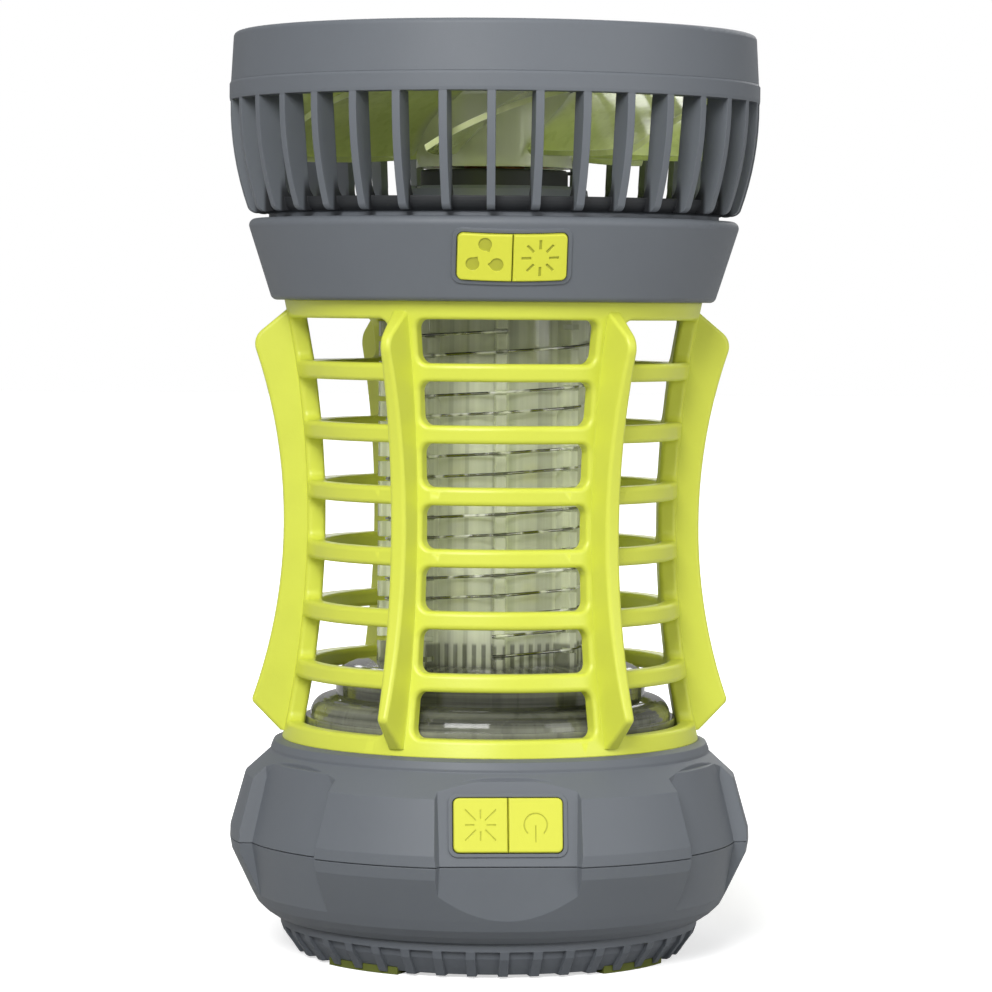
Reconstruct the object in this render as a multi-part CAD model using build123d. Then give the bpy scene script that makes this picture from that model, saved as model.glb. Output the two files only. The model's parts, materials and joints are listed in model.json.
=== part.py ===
from build123d import *
import math
import os

# ---------------------------------------------------------------- overall sizes (mm)
foot_height = 9.5          # floor to the underside of the lower shell
lower_height = 19.4        # lower shell, up to the parting seam
upper_height = 25.0        # upper shell, seam to deck
cage_height = 109.8        # cage, deck to collar
collar_height = 20.3       # collar, up to its cover
head_gap = 1.0             # shadow gap between collar and head
basket_height = 33.0       # slatted basket, floor to bezel
bezel_height = 12.4        # fan guard, up to the top rim

base_radius = 65.5         # widest part of the base, at the seam
head_radius = 66.5         # widest part of the head, at the basket band
cage_end_radius = 52.5     # cage body at its two ends
cage_waist_radius = 46.6   # cage body at half height
fin_end_radius = 60.6      # fin tips
fin_waist_radius = 52.4    # fins at half height

# ---------------------------------------------------------------- walls, gaps and fits
wall = 2.2
key_gap = 0.2              # round each key, and between two keys
fit_gap = 0.1              # between pieces that plug together
bearing_gap = 0.03         # radial, shaft in its bearings
hinge_gap = 0.06           # radial, hook and flap on their pins

# ---------------------------------------------------------------- levels
z_cover = foot_height
z_seam = z_cover + lower_height
z_deck = z_seam + upper_height
z_collar = z_deck + cage_height
z_lid = z_collar + collar_height
z_head = z_lid + head_gap
z_bezel = z_head + basket_height
z_top = z_bezel + bezel_height

# ---------------------------------------------------------------- base
seam_depth = 0.7           # reveal between the two shells
seam_height = 0.22
neck_margin = 2.8          # neck beyond the cage ring
neck_radius = cage_end_radius + neck_margin
neck_height = 3.1          # neck under the deck, its rim rounded
neck_round = 2.4
shoulder_drop = 8.9        # deck to the shoulder corner
shoulder_step = 3.8        # shoulder corner inside the widest radius
panel_depth = 3.0          # recessed panels below the bulges, at the seam
panel_ledge = 4.9          # deck to the top of the panels
panel_top_step = 2.2       # top of the panels beyond the neck
panel_draft = 0.62         # side slope of the panels, width over depth
panel_end = 5.5            # lower end of the panels above the lower shell's underside
bulge_count = 6
front_set = 1.0            # flat front panel behind the round ones, at its middle
toe_step = 5.5             # lower shell at the panels' lower end, inside the widest radius
toe_radius = 54.2          # underside of the lower shell
deck_thickness = 2.2
foot_ribs = 40
foot_rib_width = 2.3
foot_rib_depth = 1.0
foot_band = 2.4            # plain band of the skirt above its ribs
foot_lift = 0.6            # ribbed skirt above the floor, the feet reach the floor
foot_top_radius = 52.6
foot_bottom_radius = 48.6
post_radius = 3.6
post_ring = 44.0           # radius of the ring of screw posts
long_screw_radius = 1.5
foot_pad_inner = 40.2
foot_pad_outer = 48.3
foot_pad_angle = 27.0
foot_pad_height = 2.6

# ---------------------------------------------------------------- keys
key_width = 13.0
panel_half_width = key_width + 2.9
upper_key_height = 11.6
lower_key_height = 13.1
key_corner = 1.4
key_proud = 0.7            # key face above its frame
key_travel = 0.6
key_skirt = 1.2            # lip behind the wall that keeps a key in
key_skirt_thickness = 1.0
switch_size = 6.0
switch_height = 3.6
plunger_radius = 1.7
plunger_height = 1.4
board_thickness = 1.6
board_depth = 10.0         # panel face to the face of the key board

# ---------------------------------------------------------------- cage
cage_wall = 4.6
window_count = 6
slot_rows = 7
bar_height = 4.4
bottom_band = 4.9          # up to the regular row of slots
low_slot_extra = 0.6       # the lowest slots reach further down
top_band = 4.4
slot_half_angle = 25.7     # the ends of the slots lie in planes through the axis
slot_corner = 2.5
slot_round = 1.1
fin_root_half = 2.7
fin_edge_half = 1.05
fin_round = 0.9
fin_corner_drop = 9.6      # collar down to the upper fin corner
fin_corner_rise = 9.1      # deck up to the lower fin corner
fin_top_drop = 2.4         # collar down to the upper end of a fin
fin_foot_rise = 1.7        # deck up to the lower end of a fin

# ---------------------------------------------------------------- lamp
tube_radius = 24.4
tube_wall = 1.8
rib_count = 9
rib_radius = tube_radius + 4.8
rib_width = 3.0
wire_radius = 0.36
wire_seat_radius = tube_radius + 2.0    # bottom of the notches that carry the wires
wire_pitch = 10.0         # rise of one wire in a turn
wire_turns = 8.0
notch_play = 0.3
flange_radius = cage_end_radius - cage_wall - 1.3
flange_height = 5.5
dome_base_radius = flange_radius - 1.1
dome_radius = (rib_radius + dome_base_radius) / 2 + 1.65
dome_height = 11.0         # deck to the top of the wide tier
dome_step_height = 19.3    # deck to the top of the narrow tier
dome_steps = 6             # ledges inside the wide tier
tube_foot_height = 19.6    # deck to the start of the plain tube
socket_radius = tube_radius - tube_wall - 1.0
socket_height = 25.7
flute_count = 64
flute_height = 7.4
flute_rim = 1.6            # thin ring round the flutes, below their top
mast_half = 11.0
mast_wall = 1.6
mast_top_gap = 0.6
led_board_width = 12.0
led_board_thickness = 1.2
led_size = 5.0
led_height = 1.5
led_pitch = 15.0
led_count = 5
lead_radius = 3.0

# ---------------------------------------------------------------- collar
collar_foot_margin = 3.1   # collar foot beyond the cage ring
collar_foot_radius = cage_end_radius + collar_foot_margin
collar_top_radius = 62.1
collar_round = 1.7
collar_wall = 2.6
lid_thickness = 2.0
lid_margin = 3.4           # lid inside the collar's top radius

# ---------------------------------------------------------------- head
slat_count = 36
slat_thickness = 2.0
slat_depth = 5.5
head_taper = 4.6           # basket foot inside the head radius
band_height = 4.6
dish_radius = head_radius - 7.3
dish_round = 3.4           # round under edge of the bowl
dish_height = 3.8
floor_thickness = 2.6
spacer_radius = dish_radius - 2.7
bezel_step = 0.35          # bezel inside the band
bezel_round = 1.3
bezel_wall = 4.6
grille_drop = 1.6          # grille below the rim
grille_thickness = 2.4
grille_rings = 6
grille_spokes = 12
grille_bar = 1.8
grille_hub = 19.0

pedestal_radius = 24.0
pedestal_height = 4.7
motor_radius = 18.5
motor_base_height = 4.2
hub_radius = 19.6
hub_height = 19.4
hub_wall = 1.6
rotor_gap = 0.5            # rotor above the motor base
can_wall = 1.4
stator_radius = 15.4
shaft_radius = 1.5
bearing_radius = 4.0
bearing_height = 4.0
blade_count = 7
blade_tip_radius = dish_radius - 1.8
blade_thickness = 1.5

# ---------------------------------------------------------------- hook and port
hook_ring = 30.0           # centre line radius of the hook
hook_wire = 2.0            # radius of its round section
hook_pin_radius = 1.2
groove_play = 0.7
port_width = 18.0
port_height = 11.0
port_level = 11.0          # middle of the socket above the lower shell's underside


# ================================================================ helpers
def disc(radius, z0, z1):
    return Pos(0, 0, z0) * Cylinder(radius, z1 - z0, align=(Align.CENTER, Align.CENTER, Align.MIN))


def ring(inner, outer, z0, z1):
    return disc(outer, z0, z1) - disc(inner, z0, z1)


def block(x0, x1, y0, y1, z0, z1):
    size = Box(x1 - x0, y1 - y0, z1 - z0)
    return Pos((x0 + x1) / 2, (y0 + y1) / 2, (z0 + z1) / 2) * size


def turned(points, arc=360.0):
    """A solid of revolution about Z from (radius, z) points."""
    return revolve(Plane.XZ * make_face(Polyline(*points, close=True)), Axis.Z, arc)


def around(shape, count, start=0.0):
    """Copies of a shape evenly spaced about Z."""
    return [Rot(0, 0, start + 360.0 * k / count) * shape for k in range(count)]


def at(radius, angle, z=0.0):
    """A place at a radius and an angle from the front, counted towards +X."""
    turn = math.radians(angle)
    return Pos(radius * math.sin(turn), -radius * math.cos(turn), z)


def screw(radius, head_radius_, head_height, z_head_bottom, length, up=True):
    """A screw along Z: its shank rises from its head if up, else it goes down."""
    head = disc(head_radius_, 0, head_height)
    recess = block(-head_radius_ * 0.6, head_radius_ * 0.6, -0.35, 0.35, 0, 0.8)
    recess = recess + Rot(0, 0, 90) * recess
    shank = disc(radius, head_height, head_height + length)
    body = head - recess + shank
    if not up:
        body = Rot(180, 0, 0) * body
    return Pos(0, 0, z_head_bottom) * body


def save(name, *shapes):
    """Writes one node from one or more solids."""
    solids = []
    for shape in shapes:
        solids += shape.solids()
    whole = solids[0] if len(solids) == 1 else Compound(children=solids)
    whole.label = name
    export_step(whole, os.path.join("parts", name + ".step"))
    print(name, len(solids))


# ================================================================ base outlines
panel_top_radius = neck_radius + panel_top_step
panel_seam_radius = base_radius - panel_depth
z_panel_top = z_deck - panel_ledge
z_panel_end = z_cover + panel_end
panel_end_radius = base_radius - toe_step
flat_seam_reach = panel_seam_radius - front_set
flat_top_reach = panel_top_radius - front_set / 2
shoulder_radius = base_radius - shoulder_step
z_shoulder = z_deck - shoulder_drop
z_crease = z_seam + 2.9
z_low_crease = z_seam - 2.9


def base_solid():
    """The base outside, with bulges, from the lower shell's underside to the deck."""
    rim = neck_round * (1 - math.sqrt(0.5))
    neck = [(neck_radius, z_deck - neck_round), (neck_radius - rim, z_deck - rim), (neck_radius - neck_round, z_deck)]
    toe = [(0, z_cover), (toe_radius, z_cover), (toe_radius + 2.4, z_cover + 1.6),
           (panel_end_radius - 1.4, z_cover + 3.5), (panel_end_radius, z_panel_end + 0.6)]
    bulged = turned(toe + [
        (base_radius - 0.5, z_low_crease), (base_radius, z_seam), (base_radius - 0.1, z_crease),
        (shoulder_radius, z_shoulder), (neck_radius, z_deck - neck_height)] + neck + [(0, z_deck)])
    core = turned(toe + [
        (panel_seam_radius, z_seam), (panel_top_radius, z_panel_top), (neck_radius, z_panel_top)] + neck + [
        (0, z_deck)])
    cuts = around(panel_cutter(), bulge_count)
    front = cuts[0] - flat_core() - (core & disc(base_radius, z_panel_top, z_deck))
    return bulged - [cut - core for cut in cuts[1:]] - front


def flat_core():
    """What is left behind the front panel: a block with two flat faces that meet at the seam."""
    points = [(0, z_panel_end - 2), (-panel_end_radius, z_panel_end - 2), (-panel_end_radius, z_panel_end),
              (-flat_seam_reach, z_seam), (-flat_top_reach, z_panel_top), (0, z_panel_top)]
    return extrude(Plane.YZ * make_face(Polyline(*points, close=True)), 30, both=True)


def panel_cutter():
    """The wedge-sided space in front of one panel floor, for the panel that faces the front."""
    near = panel_seam_radius * 0.9
    far = base_radius + 6.0

    def section(z, floor):
        half = panel_half_width
        out = half + panel_draft * (far - floor)
        back = half - panel_draft * (floor - near)
        return Pos(0, 0, z) * make_face(
            Polyline((-back, -near), (back, -near), (out, -far), (-out, -far), close=True))

    top_floor = panel_top_radius - 1.8
    upper = loft([section(z_seam, panel_seam_radius - 1.9), section(z_deck, top_floor - 1.6)])
    lower = loft([section(z_panel_end - 1.0, panel_end_radius - 1.9), section(z_seam, panel_seam_radius - 1.9)])
    return upper + lower


def inside(z0, z1, margin):
    """The free space inside the base wall between two levels."""
    def reach(z):
        if z <= z_panel_end:
            return toe_radius + 1.6
        if z <= z_seam:
            share = (z - z_panel_end) / (z_seam - z_panel_end)
            return panel_end_radius + share * (panel_seam_radius - panel_end_radius)
        share = min(1.0, (z - z_seam) / (z_panel_top - z_seam))
        return panel_seam_radius + share * (panel_top_radius - panel_seam_radius)

    levels = [z0] + [z for z in (z_panel_end, z_seam, z_panel_top) if z0 < z < z1] + [z1]
    rim = [(min(reach(z), neck_radius if z > z_panel_top else 1e3) - margin, z) for z in levels]
    return turned([(0, z0)] + rim + [(0, z1)])


def seam_groove(low, high):
    """The thin reveal cut round the outside of a shell between two levels next to the seam."""
    section = (base_solid() & disc(base_radius + 5, z_seam, z_seam + 1)).faces().sort_by(Axis.Z)[0]
    inner = scale(Pos(0, 0, -z_seam) * section, 1 - seam_depth / base_radius)
    kept = extrude(Pos(0, 0, low - 1) * inner, high - low + 2, dir=(0, 0, 1))
    return disc(base_radius + 5, low, high) - kept


# ---------------------------------------------------------------- planes of the two key pads
lower_pad_width = 2 * key_width + key_gap
lower_rise = z_panel_top - z_seam
lower_lean = math.atan2(flat_seam_reach - flat_top_reach, lower_rise)
lower_pad_level = z_seam + 9.85
lower_pad_reach = flat_seam_reach - math.tan(lower_lean) * (lower_pad_level - z_seam)
collar_lean = math.atan2(collar_top_radius - collar_foot_radius, collar_height)
upper_pad_level = z_collar + 10.5
upper_pad_reach = collar_foot_radius + math.tan(collar_lean) * (upper_pad_level - z_collar)


def pad_plane(reach, level, lean):
    """A plane on the front of a leaning wall, its normal pointing out and its y axis pointing up."""
    normal = (0, -math.cos(lean), math.sin(lean))
    return Plane(origin=(0, -reach, level), x_dir=(1, 0, 0), z_dir=normal)


lower_pad = pad_plane(lower_pad_reach, lower_pad_level, lower_lean)
upper_pad = pad_plane(upper_pad_reach, upper_pad_level, -collar_lean)
frame_rise = 0.35          # frame round the pads, above the wall
icon_depth = 0.3
fine_icon_depth = 0.15      # the thin marks of the lower keys


def pad_block(plane, width, height, corner, low, high):
    """A rounded block on a pad plane between two depths along its normal."""
    return plane * (Pos(0, 0, low) * extrude(RectangleRounded(width, height, corner), high - low))


def collar_cone(offset):
    """The collar's outside as a solid, its flank moved outward by an offset."""
    step = offset / math.cos(collar_lean)
    return turned([(0, z_collar), (collar_foot_radius + step, z_collar), (collar_top_radius + step, z_lid), (0, z_lid)])


def key(plane, side, height, icon, skin=None):
    """One key of a pair, its icon sunk in its face; side is -1 for the left key, skin(offset) a curved face."""
    middle = side * (key_width + key_gap) / 2
    outline = Pos(middle, 0) * Rectangle(key_width, height)
    pad = RectangleRounded(2 * key_width + key_gap, height, key_corner)
    face = frame_rise + key_proud
    depth = -(wall + 1.2)
    cap = plane * (Pos(0, 0, depth) * extrude(outline & pad, face - depth))
    marks = [plane * (Pos(middle, 0, -3) * extrude(mark, 6.0)) for mark in icon]
    if skin:
        cap = cap & skin(face)
        marks = [mark - skin(face - icon_depth) for mark in marks]
    else:
        marks = [plane * (Pos(middle, 0, face - fine_icon_depth) * extrude(mark, 1.0)) for mark in icon]
    outward = Axis(plane.origin, plane.z_dir)
    cap = fillet(cap.faces().sort_by(outward)[-1].edges(), 0.45)
    skirt_outline = Pos(middle + side * key_skirt / 2, -key_skirt / 2) * Rectangle(
        key_width + key_skirt, height + key_skirt)
    skirt = Pos(0, 0, depth - key_skirt_thickness) * extrude(skirt_outline, key_skirt_thickness)
    stem_end = -(board_depth - switch_height - plunger_height - key_travel - 0.1)
    stem_start = depth - key_skirt_thickness
    stem = Pos(middle, 0, stem_end) * extrude(Circle(2.2), stem_start - stem_end)
    return cap + plane * (skirt + stem) - marks


def pad_hole(plane, height):
    """The space that a pair of keys takes through the wall and behind it."""
    width = 2 * key_width + key_gap
    slot = pad_block(plane, width + 2 * key_gap, height + 2 * key_gap, key_corner + key_gap, -(wall + 1.1), 20)
    room = plane * (Pos(0, 0, -9.0) * extrude(
        Rectangle(width + 2 * key_skirt + 2.0, height + 2 * key_skirt + 1.0), 9.0 - wall - 0.9))
    return slot, room


def fan_icon():
    blade_mark = Pos(3.3, 0) * Circle(1.6) + make_face(Polyline((1.4, -1.0), (3.3, -1.6), (2.3, 1.2), close=True))
    return [Rot(0, 0, 90 + 120 * k) * blade_mark for k in range(3)]


def sun_icon():
    return [Rot(0, 0, 45 * k) * Pos(3.3, 0) * Rectangle(2.3, 0.6) for k in range(8)]


def burst_icon():
    long_rays = [Rot(0, 0, 45 + 90 * k) * Pos(3.4, 0) * Rectangle(3.6, 0.3) for k in range(4)]
    return long_rays + [Rot(0, 0, 90 * k) * Pos(2.6, 0) * Rectangle(2.2, 0.3) for k in range(4)]


def power_icon():
    arc = Circle(2.9) - Circle(2.6) - Pos(0, -2.9) * Rectangle(4.0, 2.0)
    return [arc, Pos(0, -2.1) * Rectangle(0.3, 4.0)]


def key_board(plane, height, shift=0.0):
    """The board behind a pair of keys, moved up by a shift, and its two switches."""
    width = 2 * key_width + 8.0
    board = plane * (Pos(0, shift, -board_depth - board_thickness) * extrude(
        Rectangle(width, height), board_thickness))
    switches = []
    for side in (-1, 1):
        middle = side * (key_width + key_gap) / 2
        body = Pos(middle, 0, -board_depth) * extrude(Rectangle(switch_size, switch_size), switch_height)
        plunger = Pos(middle, 0, -board_depth + switch_height) * extrude(Circle(plunger_radius), plunger_height)
        switches.append(plane * (body + plunger))
    return board, switches


def board_posts(plane, height, shift=0.0):
    """Two posts behind the wall that carry a key board, one at each side."""
    posts = []
    for side in (-1, 1):
        middle = side * (key_width + 5.6)
        shaft = Pos(middle, shift, -board_depth) * extrude(Rectangle(2.6, height), board_depth - 1.0)
        posts.append(plane * shaft)
    return posts


# ================================================================ base pieces
post_angles = [45, 135, 225, 315]
deck_hole = 15.0
deck_screw_ring = cage_end_radius - 2.6
lamp_screw_ring = flange_radius - 3.6
port_y = panel_end_radius - 0.9        # flat face behind the port flap
port_z = z_cover + port_level
usb_width = 8.9
usb_height = 3.2
flap_axis_y = port_y + 1.2
flap_axis_z = port_z + port_height / 2 - 1.2
flap_pin_radius = 0.5
flap_barrel_radius = 1.05


def base_upper_shell():
    slot, room = pad_hole(lower_pad, lower_key_height)
    frame = pad_block(lower_pad, lower_pad_width + 2.4, lower_key_height + 2.2, key_corner + 0.9, -1.5, frame_rise)
    shell = base_solid() & disc(base_radius + 5, z_seam, z_deck)
    shell = shell - inside(z_seam, z_deck - deck_thickness, wall)
    backing = lower_pad * (Pos(0, 0, -wall - 1.0) * extrude(
        Rectangle(lower_pad_width + 9, lower_key_height + 6), wall + 0.6))
    backing = backing & inside(z_seam, z_deck - deck_thickness, wall - 0.2)
    shell = shell + frame + backing + board_posts(lower_pad, 9.0) - slot - room
    posts = [at(post_ring, a) * disc(post_radius, z_seam, z_deck - 0.5) for a in post_angles]
    bosses = [at(deck_screw_ring, a) * disc(4.0, z_deck - 6.0, z_deck - 0.5) for a in (90, 210, 330)]
    shell = shell + posts + bosses
    bores = [at(post_ring, a) * disc(long_screw_radius, z_seam - 1, z_seam + 12) for a in post_angles]
    bores += [at(deck_screw_ring, a) * disc(1.6, z_deck - 7, z_deck + 1) for a in (90, 210, 330)]
    bores += [at(lamp_screw_ring, a) * disc(1.6, z_deck - 7, z_deck + 1) for a in (30, 150, 270)]
    groove = seam_groove(z_seam, z_seam + seam_height)
    return shell - bores - disc(deck_hole, z_deck - 5, z_deck + 1) - groove


def port_pocket():
    """The space in front of the port's flat face, where the flap lies and swings."""
    low = port_z - port_height / 2
    return block(-port_width / 2, port_width / 2, port_y, port_y + 9, low, low + port_height + 0.9)


def base_lower_shell():
    shell = base_solid() & disc(base_radius + 5, z_cover, z_seam)
    shell = shell - inside(z_cover + wall, z_seam, wall) - disc(foot_top_radius - 8, z_cover - 1, z_seam)
    posts = [at(post_ring, a) * disc(post_radius, z_cover, z_seam) for a in post_angles]
    thick = block(-port_width / 2 - 3, port_width / 2 + 3, port_y - 3.4, port_y + 2.5, z_cover + wall - 0.2, z_seam)
    thick = thick & base_solid()
    shelf = block(-8, 8, port_y - 18, port_y - 3, port_z - usb_height / 2 - board_thickness - 1.6,
                  port_z - usb_height / 2 - board_thickness)
    shell = shell + posts + thick + shelf - port_pocket()
    hole = block(-usb_width / 2 - 0.3, usb_width / 2 + 0.3, port_y - 4, port_y + 1,
                 port_z - usb_height / 2 - 0.25, port_z + usb_height / 2 + 0.25)
    bores = [at(post_ring, a) * disc(long_screw_radius + 0.2, z_cover - 1, z_seam + 1) for a in post_angles]
    pin = Pos(0, flap_axis_y, flap_axis_z) * Rot(0, 90, 0) * Cylinder(flap_pin_radius, port_width + 4)
    return shell - hole - bores - pin


def skirt(inset, low):
    """The foot ring as a full solid, its flank below the plain band set in by an inset."""
    rim = z_cover - foot_band
    flank = [(foot_bottom_radius - inset, low), (foot_bottom_radius + 1.8 - inset, foot_lift + 2.6),
             (foot_top_radius - 0.7 - inset, rim - 1.9), (foot_top_radius - inset, rim)]
    return turned([(0, low)] + flank + [(foot_top_radius, rim + 0.01), (foot_top_radius, z_cover), (0, z_cover)])


def bottom_cover():
    """Ribbed foot ring closed by a plate, with a groove and two lugs for the hook."""
    full = skirt(0.0, foot_lift)
    bare = skirt(foot_rib_depth, foot_lift + 0.35)
    rib = block(-foot_rib_width / 2, foot_rib_width / 2, -80, -20, 0, z_cover)
    ribs = [turn & full for turn in around(rib, foot_ribs)]
    body = bare + ribs
    body = body - disc(foot_pad_inner - 3.2, -1, z_cover - 2.4)
    plate_z = z_cover - 2.4
    track = ring(hook_ring - hook_wire - groove_play, hook_ring + hook_wire + groove_play, plate_z, plate_z + 5.2)
    cup = ring(hook_ring - hook_wire - groove_play - 1.4, hook_ring + hook_wire + groove_play + 1.4,
               plate_z, plate_z + 6.6)
    lugs = [block(s * 37.4 - 1.6, s * 37.4 + 1.6, -4.5, 4.5, 1.6, plate_z + 1) for s in (-1, 1)]
    body = body + cup - track
    swing = block(-hook_ring - 4.9, hook_ring + 4.9, -4.4, 4.4, -1, plate_z + 5.2) - disc(hook_ring - 5, -2, 40)
    body = body - swing + lugs
    body = body - [Pos(s * 36, 0, hook_axis_z) * Rot(0, 90, 0) * Cylinder(hook_pin_radius, 6.0) for s in (-1, 1)]
    pads = [Rot(0, 0, a) * foot_pad(0.1) for a in post_angles]
    holes = [at(post_ring, a) * (disc(long_screw_radius + 0.2, 0, 20) + disc(3.0, 0, z_cover_head + 1.6))
             for a in post_angles]
    return body - pads - holes


hook_axis_z = z_cover - 2.4 + hook_wire - 0.3
z_cover_head = foot_pad_height + 0.2     # under side of the long screws' heads


def foot_pad(grow=0.0):
    """One rubber foot under the front of the skirt; grow widens it to cut its pocket."""
    half = foot_pad_angle / 2
    pad = Rot(0, 0, -90 - half) * turned([
        (foot_pad_inner - grow, 0), (foot_pad_outer + grow, 0), (foot_pad_outer + grow, foot_pad_height + grow),
        (foot_pad_inner - grow, foot_pad_height + grow)], 2 * half)
    return pad


def rubber_feet():
    return [Rot(0, 0, a) * foot_pad() for a in post_angles]


def cover_screws():
    """Long screws from under the feet through the lower shell into the posts of the upper one."""
    one = screw(long_screw_radius, 2.8, 1.6, z_cover_head, z_seam + 11 - z_cover_head - 1.6)
    return [at(post_ring, a) * one for a in post_angles]


def hanging_hook():
    """A half-ring bail folded into the groove, its eyes on the two pins."""
    wire = Pos(0, 0, hook_axis_z) * Torus(hook_ring, hook_wire)
    wire = wire & block(-50, 50, -50, 0, 0, 30)
    eyes = [Pos(s * (hook_ring + 1.0), 0, hook_axis_z) * Rot(0, 90, 0) * Cylinder(2.2, 6.0) for s in (-1, 1)]
    bores = [Pos(s * 32, 0, hook_axis_z) * Rot(0, 90, 0) * Cylinder(hook_pin_radius + hinge_gap, 20) for s in (-1, 1)]
    return wire + eyes - bores


def hook_pins():
    length = 10.4
    return [Pos(s * (38.6 - length / 2), 0, hook_axis_z) * Rot(0, 90, 0) * Cylinder(hook_pin_radius, length)
            for s in (-1, 1)]


# ---------------------------------------------------------------- inside the base
cell_radius = 9.2
cell_length = 65.0
cell_pitch = 19.0
cell_middle_y = 7.0
holder_floor = 1.6
z_holder = z_cover + 5.2
z_cells = z_holder + holder_floor + cell_radius
z_power_board = z_cells + cell_radius + 3.0


def battery_cells():
    cells = []
    for side in (-0.5, 0.5):
        tube = Cylinder(cell_radius, cell_length) + Pos(0, 0, cell_length / 2 + 0.4) * Cylinder(3.0, 0.8)
        cells.append(Pos(0, cell_middle_y + side * cell_pitch, z_cells) * Rot(0, 90 if side > 0 else -90, 0) * tube)
    return cells


def battery_holder():
    half_x = cell_length / 2 + 2.6
    half_y = cell_pitch / 2 + cell_radius + 1.0
    y0, y1 = cell_middle_y - half_y, cell_middle_y + half_y
    tray = block(-half_x, half_x, y0, y1, z_holder, z_cells + 2)
    tray = tray - block(-half_x + 1.6, half_x - 1.6, y0 + 1.0, y1 - 1.0, z_holder + holder_floor, z_cells + 5)
    cradles = [block(x - 1.5, x + 1.5, y0 + 0.5, y1 - 0.5, z_holder + 1, z_cells - 2) for x in (-22, 22)]
    hollow = [Pos(0, cell_middle_y + s * cell_pitch / 2, z_cells) * Rot(0, 90, 0) * Cylinder(cell_radius + fit_gap, 80)
              for s in (-1, 1)]
    cradles = [c - hollow for c in cradles]
    legs = [block(x - 3, x + 3, y - 3, y + 3, z_cover, z_holder + 0.5) for x in (-20, 20) for y in (y0 + 3, y1 - 3)]
    legs = [leg - ring(hook_ring - 8, hook_ring + 8, 0, z_cover + 4.4) for leg in legs]
    masts = [block(sx * half_x - 2.4 - 2.4 * sx, sx * half_x + 2.4 - 2.4 * sx, cell_middle_y - 2, cell_middle_y + 2,
                   z_cells, z_power_board) for sx in (-1, 1)]
    masts = [m - hollow for m in masts]
    return tray + cradles + legs + masts


def power_board():
    y0 = cell_middle_y - 20
    board = block(-36, 36, y0, y0 + 38, z_power_board, z_power_board + board_thickness)
    return board & disc(50, 0, 60)


def transformer():
    z = z_power_board + board_thickness
    core = block(-22, -6, 8, 22, z, z + 11)
    winding = block(-24, -4, 10, 20, z + 2.5, z + 8.5)
    return core + winding


def capacitors():
    z = z_power_board + board_thickness
    return [Pos(x, 4, 0) * disc(4.0, z, z + 11.5) for x in (8, 18)]


def charge_board():
    top = port_z - usb_height / 2
    return block(-7, 7, port_y - 17.6, port_y - 5.2, top - board_thickness, top)


def usb_socket():
    """A metal socket with an open mouth and a tongue."""
    low = port_z - usb_height / 2
    body = block(-usb_width / 2, usb_width / 2, port_y - 8.6, port_y - 1.3, low, low + usb_height)
    body = fillet(body.edges().filter_by(Axis.Y), 1.3)
    mouth = block(-usb_width / 2 + 0.5, usb_width / 2 - 0.5, port_y - 7.8, port_y, low + 0.5, low + usb_height - 0.5)
    tongue = block(-3.2, 3.2, port_y - 8, port_y - 2.4, port_z - 0.35, port_z + 0.35)
    return body - fillet(mouth.edges().filter_by(Axis.Y), 0.9) + tongue


def port_flap():
    low = port_z - port_height / 2 + 0.4
    plate = block(-port_width / 2 + 0.4, port_width / 2 - 0.4, port_y + 0.3, port_y + 1.7, low, flap_axis_z)
    plate = plate - block(-20, 20, port_y + 1.2, port_y + 3, low - 1, low + 1.6)
    barrel = Pos(0, flap_axis_y, flap_axis_z) * Rot(0, 90, 0) * Cylinder(flap_barrel_radius, port_width - 0.8)
    plug = block(-usb_width / 2 + 1.2, usb_width / 2 - 1.2, port_y - 0.8, port_y + 0.5,
                 port_z - 0.8, port_z + 1.1)
    bore = Pos(0, flap_axis_y, flap_axis_z) * Rot(0, 90, 0) * Cylinder(flap_pin_radius + hinge_gap, 40)
    return plate + barrel + plug - bore


def port_pin():
    return Pos(0, flap_axis_y, flap_axis_z) * Rot(0, 90, 0) * Cylinder(flap_pin_radius, port_width + 3)


def deck_screws():
    one = screw(1.25, 2.6, 1.4, z_deck - 7.4, 13.0)
    return [at(deck_screw_ring, a) * one for a in (90, 210, 330)]


def lamp_screws():
    start = z_deck - deck_thickness - 1.4
    one = screw(1.2, 2.4, 1.4, start, 5.2)
    return [at(lamp_screw_ring, a) * one for a in (30, 150, 270)]


# ================================================================ cage
z_window = z_deck + bottom_band
window_height = cage_height - bottom_band - top_band
slot_height = (window_height - (slot_rows - 1) * bar_height) / slot_rows
slot_pitch = slot_height + bar_height


def cage_outline(margin):
    """Outer line of the cage body, moved inward by a margin: end, waist and end on one arc."""
    middle = (z_deck + z_collar) / 2
    low = (cage_end_radius - margin, z_deck)
    high = (cage_end_radius - margin, z_collar)
    return low, (cage_waist_radius - margin, middle), high


def slot(row):
    """The cutter of one slot of the front window; its ends lie in planes through the axis."""
    low = z_window + row * slot_pitch - (low_slot_extra if row == 0 else 0)
    height = z_window + row * slot_pitch + slot_height - low
    faces = []
    for reach in (30.0, 62.0):
        plane = Plane(origin=(0, -reach, low + height / 2), x_dir=(1, 0, 0), z_dir=(0, -1, 0))
        width = 2 * reach * math.tan(math.radians(slot_half_angle))
        faces.append(plane * RectangleRounded(width, height, slot_corner))
    return loft(faces, ruled=True)


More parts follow.
